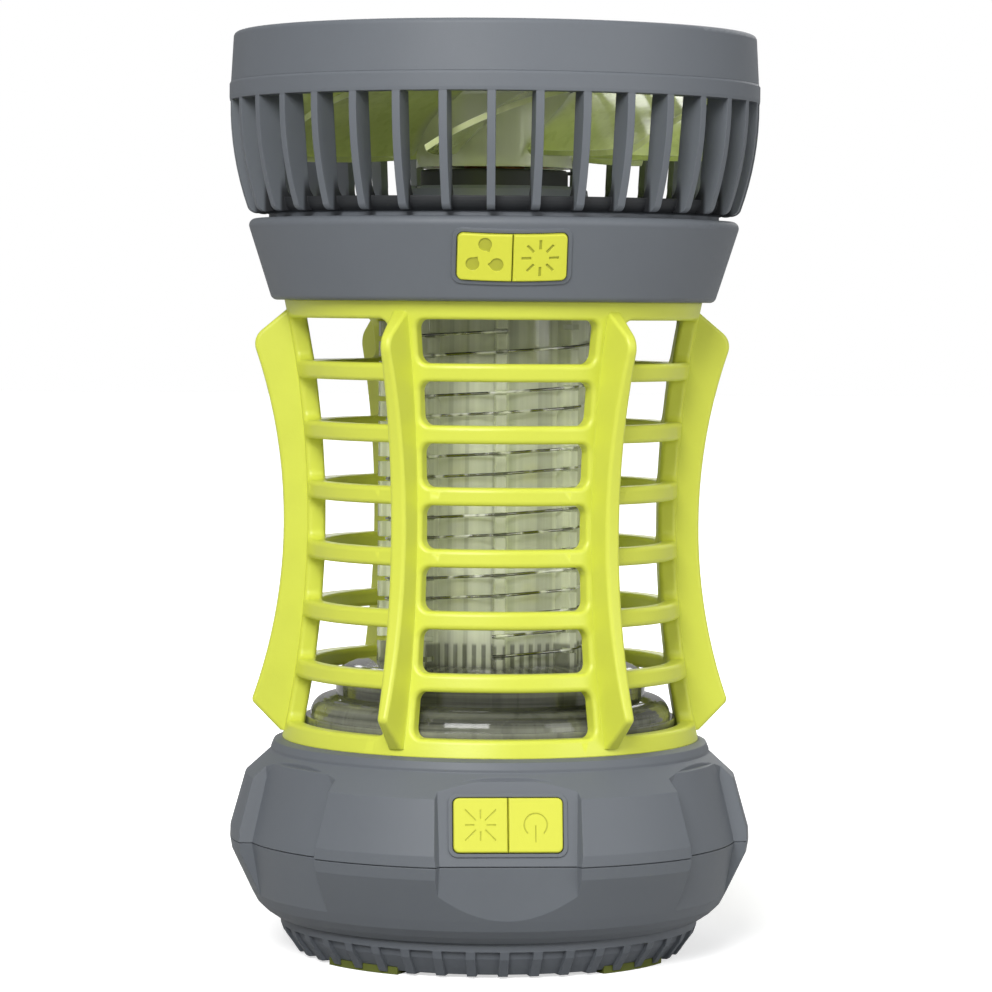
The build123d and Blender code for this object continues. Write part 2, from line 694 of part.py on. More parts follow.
def cage_body():
    """The slotted wall of the cage, its slots rounded inside and out."""
    low, waist, high = cage_outline(0)
    low_in, waist_in, high_in = cage_outline(cage_wall)
    lines = [ThreePointArc(low, waist, high), Line(high, high_in),
             ThreePointArc(high_in, waist_in, low_in), Line(low_in, low)]
    body = revolve(Plane.XZ * make_face(lines), Axis.Z, 360)
    cutters = []
    for row in range(slot_rows):
        cutters += around(slot(row), window_count)
    kept = set(edge_key(e) for e in body.edges())
    body = body - cutters
    rims = [e for e in body.edges() if edge_key(e) not in kept and rim_edge(e)]
    return fillet(rims, slot_round)


def edge_key(edge):
    middle = edge.center()
    return (round(middle.X, 2), round(middle.Y, 2), round(middle.Z, 2))


def rim_edge(edge):
    """True for an edge round a slot, on the inner or the outer face of the wall."""
    reach = [math.hypot(p.X, p.Y) for p in (edge @ 0, edge @ 1)]
    return abs(reach[0] - reach[1]) < 1.2


def fin():
    """One fin on the cage at the front: a tapered plate with straight chamfered ends."""
    high = (fin_end_radius, z_collar - fin_corner_drop)
    low = (fin_end_radius - 0.3, z_deck + fin_corner_rise)
    middle = (fin_waist_radius, (high[1] + low[1]) / 2)
    root = cage_waist_radius - 2.0
    top_end = (cage_end_radius - 0.5, z_collar - fin_top_drop)
    low_end = (cage_end_radius + 0.5, z_deck + fin_foot_rise)
    lines = [Line(low_end, low), ThreePointArc(low, middle, high), Line(high, top_end),
             Line(top_end, (root, top_end[1])), Line((root, top_end[1]), (root, low_end[1])),
             Line((root, low_end[1]), low_end)]
    plate = make_face(lines)
    plate = fillet(plate.vertices().sort_by_distance((high[0], high[1], 0))[:1], 4.5)
    plate = fillet(plate.vertices().sort_by_distance((low[0], low[1], 0))[:1], 1.5)
    plate = extrude(Plane.XZ * plate, 6, both=True)
    wedge = Pos(0, 0, z_deck - 5) * extrude(make_face(Polyline(
        (root - 4, -fin_root_half - 0.3), (fin_end_radius + 2, -fin_edge_half),
        (fin_end_radius + 2, fin_edge_half), (root - 4, fin_root_half + 0.3), close=True)), cage_height + 10)
    blade = plate & wedge
    rims = [e for e in blade.edges() if abs((e @ 0.5).Y) > fin_edge_half - 0.05 and outer_edge(e, root)]
    blade = fillet(rims, fin_round)
    low_in, waist_in, high_in = cage_outline(cage_wall - 0.8)
    keep = Plane.XZ * make_face([ThreePointArc(low_in, waist_in, high_in), Line(high_in, (90, high_in[1])),
                                 Line((90, high_in[1]), (90, low_in[1])), Line((90, low_in[1]), low_in)])
    return Rot(0, 0, -90) * (blade & extrude(keep, 12, both=True))


def outer_edge(edge, root):
    """True for an edge along the chamfers, the corners or the outer line of a fin."""
    ends = (edge @ 0, edge @ 1)
    across = abs(ends[0].Y - ends[1].Y) > 1.5
    return min(p.X for p in ends) > root + 1.0 and not across


def cage():
    body = cage_body() + around(fin(), window_count, 180.0 / window_count)
    bores = [at(deck_screw_ring, a) * disc(1.3, z_deck - 1, z_deck + 8) for a in (90, 210, 330)]
    bores += [at(deck_screw_ring, a) * disc(1.3, z_collar - 8, z_collar + 1) for a in (30, 150, 270)]
    return body - bores


# ================================================================ lamp
z_plain = z_deck + tube_foot_height
z_tube_top = z_collar + 1.8
wire_start = z_plain + 2.9


def tube_section():
    """Outline of the clear tube: a smooth dome in two tiers outside, ledges inside the wide tier."""
    rise = z_deck + flange_height
    wide = (dome_base_radius, rise), (dome_radius + 2.4, z_deck + dome_height - 0.6)
    narrow = (dome_radius, z_deck + dome_step_height - 4.4), (dome_radius - 5.4, z_deck + dome_step_height - 0.5)
    outer = [(flange_radius, z_deck), (flange_radius, rise)]
    outer += quarter(*wide) + [(dome_radius, z_deck + dome_height)]
    outer += quarter(*narrow) + [(rib_radius, z_plain - 0.2), (tube_radius, z_plain), (tube_radius, z_tube_top)]
    inner = [(tube_radius - tube_wall, z_tube_top), (tube_radius - tube_wall, z_plain - tube_wall - 0.6),
             (dome_radius - 6.2, z_deck + dome_step_height - tube_wall - 1.0),
             (dome_radius - 2.4, z_deck + dome_step_height - 4.4 - tube_wall),
             (dome_radius - 2.4, z_deck + dome_height - tube_wall)]
    low = (flange_radius - 4.6, z_deck + 1.2)
    for k in range(1, dome_steps + 1):
        r = dome_radius - 2.4 + (low[0] - dome_radius + 2.4) * k / dome_steps
        z = z_deck + dome_height - tube_wall + (low[1] - z_deck - dome_height + tube_wall) * (k / dome_steps) ** 1.6
        inner += [(r, inner[-1][1]), (r, z)]
    return outer + inner + [(low[0], z_deck)]


def quarter(start, end, steps=7):
    """Points of a quarter ellipse that starts upright and ends level."""
    turns = [math.pi / 2 * k / steps for k in range(steps + 1)]
    return [(end[0] + (start[0] - end[0]) * math.cos(t), start[1] + (end[1] - start[1]) * math.sin(t)) for t in turns]


def wire_level(turn, strand):
    """Height of a wire after so many turns from the front."""
    return wire_start + wire_pitch * (turn + strand / 2)


def lamp_tube():
    body = turned(tube_section())
    rib = block(-rib_width / 2, rib_width / 2, -rib_radius, -tube_radius + 0.5, z_plain, z_collar - 1.6)
    rib = fillet(rib.edges().filter_by(Axis.Z).sort_by(Axis.Y)[:2], 0.6)
    foot = Plane.YZ * make_face(Polyline((-rib_radius, z_plain), (-rib_radius + 0.4, z_plain - 1.1),
                                         (-tube_radius + 0.4, z_plain - 0.4), (-tube_radius + 0.4, z_plain + 1),
                                         (-rib_radius, z_plain + 1), close=True))
    rib = rib + extrude(foot, rib_width / 2, both=True)
    ribs = []
    for k in range(rib_count):
        cuts = []
        for strand in (0, 1):
            for turn in range(-1, 10):
                z = wire_level(turn + k / rib_count, strand)
                if wire_start - 1.5 < z < z_collar - 0.5:
                    high = wire_radius + notch_play / 2 + 0.1
                    cuts.append(block(-5, 5, -rib_radius - 2, -wire_seat_radius, z - high, z + high))
        ribs.append(Rot(0, 0, 360.0 * k / rib_count) * (rib - cuts))
    bosses = [at(lamp_screw_ring, a) * disc(2.9, z_deck, z_deck + flange_height) for a in (30, 150, 270)]
    bores = [at(lamp_screw_ring, a) * disc(1.25, z_deck - 1, z_deck + flange_height - 0.6) for a in (30, 150, 270)]
    return body + ribs + bosses - bores


def zapper_wire(strand):
    """A bare wire that runs straight from rib to rib and lies flat in each notch."""
    radius = wire_seat_radius + wire_radius + 0.02
    half = math.atan2(rib_width / 2 + 0.25, radius)
    reach = math.hypot(radius, rib_width / 2 + 0.25)
    points = []
    for n in range(int(wire_turns * rib_count) + 1):
        for side in (-1, 1):
            angle = 2 * math.pi * n / rib_count + side * half
            z = wire_level(angle / (2 * math.pi), strand)
            points.append((reach * math.sin(angle), -reach * math.cos(angle), z))
    path = Polyline(*points)
    start = Plane(origin=path @ 0, z_dir=path % 0)
    return sweep(start * Circle(wire_radius), path, transition=Transition.RIGHT)


def lamp_socket():
    """Hub on the deck that holds the mast and carries the dark fluted ring."""
    body = disc(29.0, z_deck, z_deck + 1.8) + disc(socket_radius - 0.9, z_deck, z_deck + socket_height - 0.4)
    flute = block(-0.45, 0.45, -socket_radius, -socket_radius + 2.2, z_deck + socket_height - flute_height,
                  z_deck + socket_height)
    body = body + around(flute, flute_count)
    z_rim = z_deck + socket_height - flute_rim
    body = body + ring(socket_radius - 2.0, socket_radius, z_rim - 0.5, z_rim)
    body = body - disc(lead_radius + fit_gap, z_deck - 1, z_deck + socket_height + 1)
    pocket = mast_half + led_board_thickness + 0.1
    square = Rot(0, 0, 45) * block(-pocket, pocket, -pocket, pocket, z_mast, z_deck + socket_height + 1)
    return body - square


z_mast = z_deck + socket_height - 6.0
z_mast_top = z_collar - mast_top_gap
z_led_top = z_mast_top - 12.4


def led_mast():
    outer = block(-mast_half, mast_half, -mast_half, mast_half, z_mast, z_mast_top)
    core = mast_half - mast_wall
    inner = block(-core, core, -core, core, z_mast - 1, z_mast_top + 1)
    return Rot(0, 0, 45) * (outer - inner)


def led_boards():
    board = block(-led_board_width / 2, led_board_width / 2, -mast_half - led_board_thickness, -mast_half,
                  z_mast, z_mast_top - 1.0)
    return around(board, 4, 45)


def leds(start):
    """Every second chip of the four strips, from the first or the second one down."""
    found = []
    y = -mast_half - led_board_thickness
    for k in range(start, led_count, 2):
        z = z_led_top - led_pitch * k
        chip = block(-led_size / 2, led_size / 2, y - led_height, y, z - led_size / 2, z + led_size / 2)
        dish = Pos(0, y - led_height, z) * Rot(90, 0, 0) * Cylinder(1.9, 0.6)
        found += around(chip - dish, 4, 45)
    return found


def mast_leads():
    return disc(lead_radius, z_deck - 4, z_collar + 6)


# ================================================================ collar
lid_radius = collar_top_radius - lid_margin
collar_post_ring = 40.0
head_post_angles = (0, 90, 180, 270)


def collar_shell():
    outside = turned([(0, z_collar), (collar_foot_radius, z_collar), (collar_top_radius, z_lid), (0, z_lid)])
    rims = outside.edges().filter_by(GeomType.CIRCLE)
    outside = fillet(rims, collar_round)
    foot = collar_foot_radius - collar_wall
    top = collar_top_radius - collar_wall
    cavity = turned([(0, z_collar + wall), (foot, z_collar + wall), (top - 1.0, z_lid - lid_thickness - 1.6),
                     (lid_radius - 2.0, z_lid - lid_thickness), (lid_radius, z_lid - lid_thickness),
                     (lid_radius, z_lid + 1), (0, z_lid + 1)])
    slot, room = pad_hole(upper_pad, upper_key_height)
    frame = pad_block(upper_pad, upper_key_width + 2.4, upper_key_height + 2.2, key_corner + 0.9, -3.5, 3.0)
    frame = frame & collar_cone(frame_rise)
    backing = upper_pad * (Pos(0, 0, -wall - 1.0) * extrude(
        Rectangle(upper_key_width + 8, upper_key_height + 3), wall))
    backing = backing & cavity
    shell = outside - cavity + frame + backing + [p & cavity for p in board_posts(upper_pad, 5.0, upper_board_shift)]
    shell = shell - slot - room
    posts = [at(collar_post_ring, a) * disc(post_radius, z_collar + wall - 0.2, z_lid - lid_thickness)
             for a in head_post_angles]
    shell = shell + posts
    bores = [at(collar_post_ring, a) * disc(1.35, z_collar + 4, z_lid) for a in head_post_angles]
    bores += [at(deck_screw_ring, a) * disc(1.45, z_collar - 1, z_collar + 5) for a in (30, 150, 270)]
    return shell - bores - disc(tube_radius + fit_gap, z_collar - 1, z_collar + wall - 0.3) - disc(
        tube_radius - tube_wall, z_collar - 1, z_collar + wall + 1)


upper_key_width = 2 * key_width + key_gap
upper_board_shift = -1.4   # keeps the leaning board clear of the cover


def collar_cover():
    lid = disc(lid_radius - fit_gap, z_lid - lid_thickness, z_lid)
    bores = [at(collar_post_ring, a) * disc(1.5, z_lid - 5, z_lid + 1) for a in head_post_angles]
    return lid - bores - disc(5.0, z_lid - 5, z_lid + 1)


def collar_screws():
    one = screw(1.25, 2.5, 1.4, z_collar + wall + 1.4, 9.5, up=False)
    return [at(deck_screw_ring, a) * one for a in (30, 150, 270)]


def head_screws():
    one = screw(1.3, 2.8, 1.6, z_head + floor_thickness + 1.6, floor_thickness + head_gap + lid_thickness + 6.5,
                up=False)
    return [at(collar_post_ring, a) * one for a in head_post_angles]


# ================================================================ head
z_floor = z_head + floor_thickness
z_band = z_bezel - band_height
z_pedestal = z_floor + pedestal_height
z_motor = z_pedestal + motor_base_height
z_hub = z_motor + rotor_gap
z_hub_top = z_hub + hub_height
basket_foot = head_radius - head_taper


def slat():
    """One upright slat: its outer line bends in towards the foot, its lower end is round."""
    top = (head_radius - 0.15, z_band)
    bend = (head_radius - 1.9, z_head + 11.2)
    foot = (basket_foot, z_head + 1.7)
    tip = (basket_foot - 3.2, z_head + 0.5)
    inner_foot = (dish_radius - 2.6, z_head + 0.5)
    bowl = (dish_radius - 2.6, z_head + dish_height - 0.6)
    gusset = (dish_radius - 0.2, z_head + dish_height + 5.0)
    lines = [ThreePointArc(foot, bend, top), Line(top, (head_radius - 0.15, z_band + 1)),
             Line((head_radius - 0.15, z_band + 1), (top[0] - slat_depth, z_band + 1)),
             Line((top[0] - slat_depth, z_band + 1), gusset),
             ThreePointArc(gusset, (dish_radius - 0.9, z_head + dish_height + 1.4), bowl), Line(bowl, inner_foot),
             Line(inner_foot, tip), ThreePointArc(tip, (basket_foot - 0.9, z_head + 0.75), foot)]
    plate = Plane.XZ * make_face(lines)
    blade = extrude(plate, slat_thickness / 2, both=True)
    return Rot(0, 0, -90) * blade


def fan_basket():
    band = turned([(head_radius - slat_depth - 0.1, z_band), (head_radius - 0.1, z_band), (head_radius, z_band + 0.8),
                   (head_radius, z_bezel - 0.5), (head_radius - 0.3, z_bezel), (head_radius - slat_depth - 0.1, z_bezel)])
    under = quarter((dish_radius, z_head + dish_round), (dish_radius - dish_round, z_head))
    floor = turned([(0, z_head)] + under[::-1] + [
        (dish_radius, z_head + dish_height), (dish_radius - 2.0, z_head + dish_height),
        (dish_radius - 3.4, z_floor), (0, z_floor)])
    spacer = disc(spacer_radius, z_lid, z_head + 0.2)
    body = floor + spacer + band + around(slat(), slat_count, 180.0 / slat_count)
    bores = [at(collar_post_ring, a) * disc(1.5, z_lid - 1, z_floor + 1) for a in head_post_angles]
    bores += [at(pedestal_screw_ring, a) * disc(1.0, z_floor - 2, z_floor + 1) for a in (60, 180, 300)]
    return body - bores - disc(5.0, z_lid - 1, z_floor + 1)


pedestal_screw_ring = 21.0


def fan_guard():
    """Bezel with a rounded rim, spokes, rings and a middle plate; a spigot plugs into the band."""
    outer = head_radius - bezel_step
    inner = outer - bezel_wall
    rim = turned([(inner, z_bezel), (outer, z_bezel), (outer - 0.7, z_top), (inner, z_top)])
    rounded = rim.edges().filter_by(GeomType.CIRCLE).group_by(Axis.Z)[-1]
    rim = fillet(rounded, bezel_round)
    spigot_outer = head_radius - slat_depth - 0.1 - fit_gap
    spigot = ring(spigot_outer - 1.6, spigot_outer, z_bezel - 3.0, z_bezel + 0.5)
    spigot = spigot + ring(spigot_outer - 1.6, inner + 0.5, z_bezel, z_bezel + 1.6)
    z1 = z_top - grille_drop
    z0 = z1 - grille_thickness
    pitch = (inner - grille_hub) / (grille_rings + 1)
    bars = [ring(grille_hub + pitch * k - grille_bar / 2, grille_hub + pitch * k + grille_bar / 2, z0, z1)
            for k in range(1, grille_rings + 1)]
    spoke = block(-grille_bar / 2, grille_bar / 2, -inner - 0.6, -grille_hub + 1, z0, z1)
    dome = turned([(0, z0), (grille_hub, z0), (grille_hub, z1 - 0.4), (grille_hub - 1.4, z1 + 0.5), (0, z1 + 0.5)])
    return rim + spigot + bars + around(spoke, grille_spokes, 180.0 / grille_spokes) + dome


def motor_pedestal():
    body = turned([(0, z_floor), (pedestal_radius, z_floor), (pedestal_radius - 0.6, z_pedestal - 0.8),
                   (pedestal_radius - 1.4, z_pedestal), (0, z_pedestal)])
    bores = [at(pedestal_screw_ring, a) * disc(1.15, z_floor - 1, z_pedestal + 1) for a in (60, 180, 300)]
    sinks = [at(pedestal_screw_ring, a) * disc(2.2, z_pedestal - 1.6, z_pedestal + 1) for a in (60, 180, 300)]
    return body - bores - sinks - disc(5.0, z_floor - 1, z_pedestal + 1)


def motor_screws():
    one = screw(1.0, 1.9, 1.3, z_pedestal - 0.3, pedestal_height - 1.6 + 1.8, up=False)
    return [at(pedestal_screw_ring, a) * one for a in (60, 180, 300)]


tube_outer = bearing_radius + 1.4
z_tube_motor = z_hub_top - hub_wall - 1.2


def motor_base():
    """Stator base with the bearing tube and the lead connector at its rim."""
    plate = turned([(0, z_pedestal), (motor_radius, z_pedestal), (motor_radius, z_motor - 0.5),
                    (motor_radius - 0.5, z_motor), (0, z_motor)])
    lead = block(motor_radius - 2, motor_radius + 3.0, -1.6, 1.6, z_motor - 1.0, z_motor - 0.2)
    lead = lead + block(motor_radius + 2.2, motor_radius + 3.0, -1.6, 1.6, z_pedestal, z_motor - 0.2)
    body = plate + lead + disc(tube_outer, z_pedestal, z_tube_motor)
    return body - disc(bearing_radius, z_pedestal - 1, z_tube_motor + 1)


def motor_bearings():
    low = ring(shaft_radius + bearing_gap, bearing_radius, z_pedestal, z_pedestal + bearing_height)
    high = ring(shaft_radius + bearing_gap, bearing_radius, z_tube_motor - bearing_height, z_tube_motor)
    return [low, high]


def motor_coils():
    """Laminated core with four wound arms round the bearing tube."""
    z0 = z_motor + 0.8
    z1 = z_tube_motor - 3.0
    core = ring(tube_outer, tube_outer + 2.2, z_motor, z1)
    arm = block(-2.2, 2.2, -stator_radius + 1.4, -tube_outer - 1, z0 + 1.5, z1 - 1.5)
    shoe = (ring(stator_radius - 1.8, stator_radius, z0, z1)
            & block(-6.5, 6.5, -stator_radius - 1, 0, z0, z1))
    winding = block(-4.0, 4.0, -stator_radius + 1.8, -tube_outer - 2.4, z0 + 0.4, z1 - 0.4)
    return core + around(arm, 4) + around(shoe, 4) + around(winding, 4)


def rotor_can():
    outer = hub_radius - hub_wall
    return ring(outer - can_wall, outer, z_hub + 0.6, z_hub_top - hub_wall - 2.0)


def blade():
    """A swept blade lofted through three sections set along +X."""
    reaches = (hub_radius - 1.2, 38.0, blade_tip_radius + 2)
    chords = (25.0, 39.0, 55.0)
    pitches = (38.0, 26.0, 17.0)
    sweeps = (0.0, 3.0, 9.0)
    middle = z_hub + hub_height / 2 + 1.6
    sections = []
    for reach, chord, pitch, shift in zip(reaches, chords, pitches, sweeps):
        plane = Plane(origin=(reach, shift, middle), x_dir=(0, 1, 0), z_dir=(1, 0, 0))
        bow = chord * 0.06
        t = blade_thickness / 2
        lines = [ThreePointArc((-chord / 2, -t), (0, bow - t), (chord / 2, -t)), Line((chord / 2, -t), (chord / 2, t)),
                 ThreePointArc((chord / 2, t), (0, bow + t), (-chord / 2, t)), Line((-chord / 2, t), (-chord / 2, -t))]
        sections.append(plane * (Rot(0, 0, pitch) * make_face(lines)))
    return loft(sections)


def fan_rotor():
    cup = disc(hub_radius, z_hub, z_hub_top)
    cup = fillet(cup.edges().filter_by(GeomType.CIRCLE).sort_by(Axis.Z)[-1:], 1.6)
    cup = cup - disc(hub_radius - hub_wall, z_hub - 1, z_hub_top - hub_wall)
    inner = disc(hub_radius - hub_wall / 2, z_hub - 5, z_hub_top + 5)
    limit = ring(0.1, blade_tip_radius, z_hub - 5, z_hub_top + 6)
    wing = (blade() & limit) - inner
    boss = disc(3.4, z_tube_motor + 0.5, z_hub_top - 0.8)
    return cup + around(wing, blade_count, 9.0) + boss - disc(shaft_radius, z_hub, z_hub_top - 0.6)


def fan_shaft():
    return disc(shaft_radius, z_floor + 1.0, z_hub_top - 0.6)


# ================================================================ files
def main():
    os.makedirs("parts", exist_ok=True)
    save("base_upper_shell", base_upper_shell())
    save("base_lower_shell", base_lower_shell())
    save("bottom_cover", bottom_cover())
    save("rubber_feet", *rubber_feet())
    save("cover_screws", *cover_screws())
    save("hanging_hook", hanging_hook())
    save("hook_pins", *hook_pins())
    save("battery_cells", *battery_cells())
    save("battery_holder", battery_holder())
    save("power_board", power_board())
    save("transformer", transformer())
    save("capacitors", *capacitors())
    save("charge_board", charge_board())
    save("usb_socket", usb_socket())
    save("port_flap", port_flap())
    save("port_pin", port_pin())
    save("deck_screws", *deck_screws())
    save("lamp_screws", *lamp_screws())
    board, switches = key_board(lower_pad, 14.0)
    save("lower_key_board", board)
    save("lower_key_switches", *switches)
    save("burst_key", key(lower_pad, -1, lower_key_height, burst_icon()))
    save("power_key", key(lower_pad, 1, lower_key_height, power_icon()))
    save("cage", cage())
    save("lamp_tube", lamp_tube())
    save("zapper_wire_a", zapper_wire(0))
    save("zapper_wire_b", zapper_wire(1))
    save("lamp_socket", lamp_socket())
    save("led_mast", led_mast())
    save("led_boards", *led_boards())
    save("white_leds", *leds(0))
    save("uv_leds", *leds(1))
    save("mast_leads", mast_leads())
    save("collar_shell", collar_shell())
    save("collar_cover", collar_cover())
    save("collar_screws", *collar_screws())
    board, switches = key_board(upper_pad, 8.6, upper_board_shift)
    save("upper_key_board", board)
    save("upper_key_switches", *switches)
    save("fan_key", key(upper_pad, -1, upper_key_height, fan_icon(), collar_cone))
    save("light_key", key(upper_pad, 1, upper_key_height, sun_icon(), collar_cone))
    save("fan_basket", fan_basket())
    save("fan_guard", fan_guard())
    save("head_screws", *head_screws())
    save("motor_pedestal", motor_pedestal())
    save("motor_screws", *motor_screws())
    save("motor_base", motor_base())
    save("motor_bearings", *motor_bearings())
    save("motor_coils", motor_coils())
    save("rotor_can", rotor_can())
    save("fan_rotor", fan_rotor())
    save("fan_shaft", fan_shaft())


if __name__ == "__main__":
    main()
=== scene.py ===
import json
import math

import bpy
from mathutils import Euler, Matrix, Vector


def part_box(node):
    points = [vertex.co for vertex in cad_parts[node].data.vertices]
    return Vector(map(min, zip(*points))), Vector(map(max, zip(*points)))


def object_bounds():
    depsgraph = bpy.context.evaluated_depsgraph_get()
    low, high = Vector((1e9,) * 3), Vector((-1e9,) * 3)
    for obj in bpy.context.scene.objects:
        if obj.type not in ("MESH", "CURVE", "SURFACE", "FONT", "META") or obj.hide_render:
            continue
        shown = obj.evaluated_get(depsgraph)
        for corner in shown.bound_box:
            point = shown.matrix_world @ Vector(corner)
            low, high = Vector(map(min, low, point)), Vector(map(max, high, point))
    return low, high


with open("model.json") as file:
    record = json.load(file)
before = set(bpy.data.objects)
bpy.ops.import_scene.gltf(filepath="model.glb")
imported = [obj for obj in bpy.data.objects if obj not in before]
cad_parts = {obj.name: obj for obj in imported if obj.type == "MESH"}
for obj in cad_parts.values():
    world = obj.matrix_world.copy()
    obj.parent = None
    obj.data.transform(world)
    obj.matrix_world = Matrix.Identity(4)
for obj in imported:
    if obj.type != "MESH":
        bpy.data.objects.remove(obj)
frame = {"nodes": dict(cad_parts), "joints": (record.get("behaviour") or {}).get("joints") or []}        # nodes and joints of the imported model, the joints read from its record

bl_info = {
    "name": "Camping insect lamp",
    "version": (1, 0, 0),
    "blender": (4, 5, 0),
    "location": "View3D > Sidebar > Insect lamp",
    "description": "Finishes, stage, light and camera for a fan lantern with an insect zapper",
    "category": "Object",
}

cad_low, cad_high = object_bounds()
half_width = (cad_high.x - cad_low.x) / 2
mm = 0.001
white = (1.0, 1.0, 1.0, 1.0)

mix_share, mix_first, mix_second, mix_result = 0, 6, 7, 2    # a Mix node's sockets for colours
edge_rays = {"samples": 4}       # a Bevel node's settings

cloud_size = 22 * mm             # slow drifts of tone in moulded plastic
speck_size = 1.6 * mm            # its small mottling
grain_height = 0.022 * mm        # its spark-eroded grain

slat_depth = 6.3 * mm            # from the outside of the fan basket to the inside of its slats
painted_shade_band = (1.2 * mm, 8 * mm)        # heights of the painted shade on the floor between the slats, above the basket's foot
# how far the painted shade darkens that floor
painted_shade_darkness = 0.86

foot_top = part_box("lamp_tube")[0].z + 19.6 * mm      # top of the wide foot of the lamp tube
flute_band = (-1.0 * mm, 5.6 * mm)       # where the socket's flutes show, from the top of the foot
flute_count = 64
hub_radius = 21 * mm             # hub of the fan


# ---------------------------------------------------------------- shader maths
class Wire:
    """A shader socket that can be written into a sum."""

    def __init__(self, net, socket):
        self.net = net
        self.socket = socket

    def __add__(self, other):
        return self.net.number("ADD", self, other)

    def __radd__(self, other):
        return self.net.number("ADD", other, self)

    def __sub__(self, other):
        return self.net.number("SUBTRACT", self, other)

    def __rsub__(self, other):
        return self.net.number("SUBTRACT", other, self)

    def __mul__(self, other):
        return self.net.number("MULTIPLY", self, other)

    def __rmul__(self, other):
        return self.net.number("MULTIPLY", other, self)

    def swing(self):
        """A noise from 0 to 1 turned into one about 0."""
        return self - 0.5

    def above(self, edge, width):
        """0 below the edge and 1 above it, over a soft width."""
        sockets = {"Value": self, "From Min": edge - width / 2, "From Max": edge + width / 2}
        return self.net.add("ShaderNodeMapRange", {"interpolation_type": "SMOOTHSTEP"}, sockets)

    def node_outputs(self):
        """Every output of the node that this socket belongs to."""
        return [Wire(self.net, socket) for socket in self.socket.node.outputs]


class Net:
    """The node tree of one finish."""

    def __init__(self, tree):
        self.tree = tree
        tree.nodes.clear()

    def add(self, kind, settings=None, sockets=None, out=0):
        """Adds a node: its settings first, and then the values or links of its sockets."""
        node = self.tree.nodes.new(kind)
        for key, value in (settings or {}).items():
            setattr(node, key, value)
        for key, value in (sockets or {}).items():
            if isinstance(value, Wire):
                self.tree.links.new(value.socket, node.inputs[key])
            else:
                node.inputs[key].default_value = value
        return Wire(self, node.outputs[out]) if node.outputs else None

    def number(self, operation, *values):
        """One Math node."""
        return self.add("ShaderNodeMath", {"operation": operation}, dict(enumerate(values)))

    def vector(self, operation, *values, out="Vector"):
        """One Vector Math node."""
        settings = {"operation": operation}
        return self.add("ShaderNodeVectorMath", settings, dict(enumerate(values)), out)

    def place(self):
        """Where a point is on the piece, in metres in the frame at rest."""
        return self.add("ShaderNodeTexCoord", out="Object")

    def along(self):
        """How far a point is along X, Y and Z."""
        return self.add("ShaderNodeSeparateXYZ", {}, {0: self.place()}).node_outputs()

    def radius(self):
        """How far a point is from the upright axis."""
        level = self.vector("MULTIPLY", self.place(), (1, 1, 0))
        return self.vector("LENGTH", level, out="Value")

    def noise(self, size, detail=2.0, roughness=0.5, stretch=None):
        """Noise from 0 to 1: blotches about size metres across, and longer where stretch is small."""
        place = self.vector("MULTIPLY", self.place(), stretch) if stretch else self.place()
        sockets = {"Vector": place, "Scale": 1 / size, "Detail": detail, "Roughness": roughness}
        return self.add("ShaderNodeTexNoise", {}, sockets)

    def mix(self, share, first, second, kind="MIX"):
        """One colour blended into another."""
        settings = {"data_type": "RGBA", "blend_type": kind}
        sockets = {mix_share: share, mix_first: first, mix_second: second}
        return self.add("ShaderNodeMix", settings, sockets, mix_result)

    def shade(self, colour, amount):
        """A colour made lighter or darker by a wire that is 1 where nothing changes."""
        grey = self.add("ShaderNodeCombineColor", {}, {0: amount, 1: amount, 2: amount})
        return self.mix(1.0, colour, grey, "MULTIPLY")

    def rounded(self, radius):
        """The normal of the surface as if its edges were rounded."""
        return self.add("ShaderNodeBevel", edge_rays, {"Radius": radius})

    def edge(self, radius):
        """1 at sharp edges and 0 on open faces."""
        true = self.add("ShaderNodeNewGeometry", out="True Normal")
        likeness = self.vector("DOT_PRODUCT", self.rounded(radius), true, out="Value")
        return (1 - likeness).above(edge=0.08, width=0.14)

    def relief(self, height, distance, rounding=None):
        """The normal of a surface raised by height times distance, on rounded edges if asked."""
        sockets = {"Height": height, "Distance": distance, "Strength": 1.0}
        if rounding:
            sockets["Normal"] = self.rounded(rounding)
        return self.add("ShaderNodeBump", {}, sockets)

    def finish(self, surface):
        self.add("ShaderNodeOutputMaterial", {}, {"Surface": surface})


def colour4(colour):
    return (*colour, 1.0)


def new_net(name):
    """A material and its empty net."""
    material = bpy.data.materials.new(name)
    material.use_nodes = True
    return material, Net(material.node_tree)


def new_finish(name, sockets_of):
    """A material whose Principled sockets come from a function of its net."""
    material, net = new_net(name)
    net.finish(net.add("ShaderNodeBsdfPrincipled", {}, sockets_of(net)))
    return material


def dress(names, material):
    """Gives CAD nodes a finish."""
    for name in names:
        if name not in frame["nodes"]:
            raise RuntimeError(f"there is no node named {name}")
        slots = frame["nodes"][name].data.materials
        slots.clear()
        slots.append(material)


# ---------------------------------------------------------------- plastic and rubber
def moulded(net, colour, grain, roughness, rounding, tone=0.05, edge_highlight=0.10):
    """Moulded plastic: spark-eroded grain, tone that drifts by a share, and edges made paler by a
    painted highlight.
    """
    clouds = net.noise(cloud_size, detail=3.0)
    specks = net.noise(speck_size, detail=3.0)
    pits = net.noise(grain, roughness=0.6)
    edges = net.edge(rounding * 1.6)
    tint = 1 + clouds.swing() * tone * 2 + specks.swing() * tone
    return {
        # painted highlight: the rounded edges are made paler
        "Base Color": net.shade(colour4(colour), tint + edges * edge_highlight),
        "Roughness": roughness + clouds.swing() * 0.16 + specks.swing() * 0.08 - edges * 0.06,
        "Normal": net.relief(pits + specks * 0.35, grain_height, rounding),
    }


def grey_shell(net, settings):
    """What the grey shells and the fan basket share."""
    return moulded(net, settings.shell_grey, settings.shell_grain, roughness=0.56, rounding=0.35 * mm)


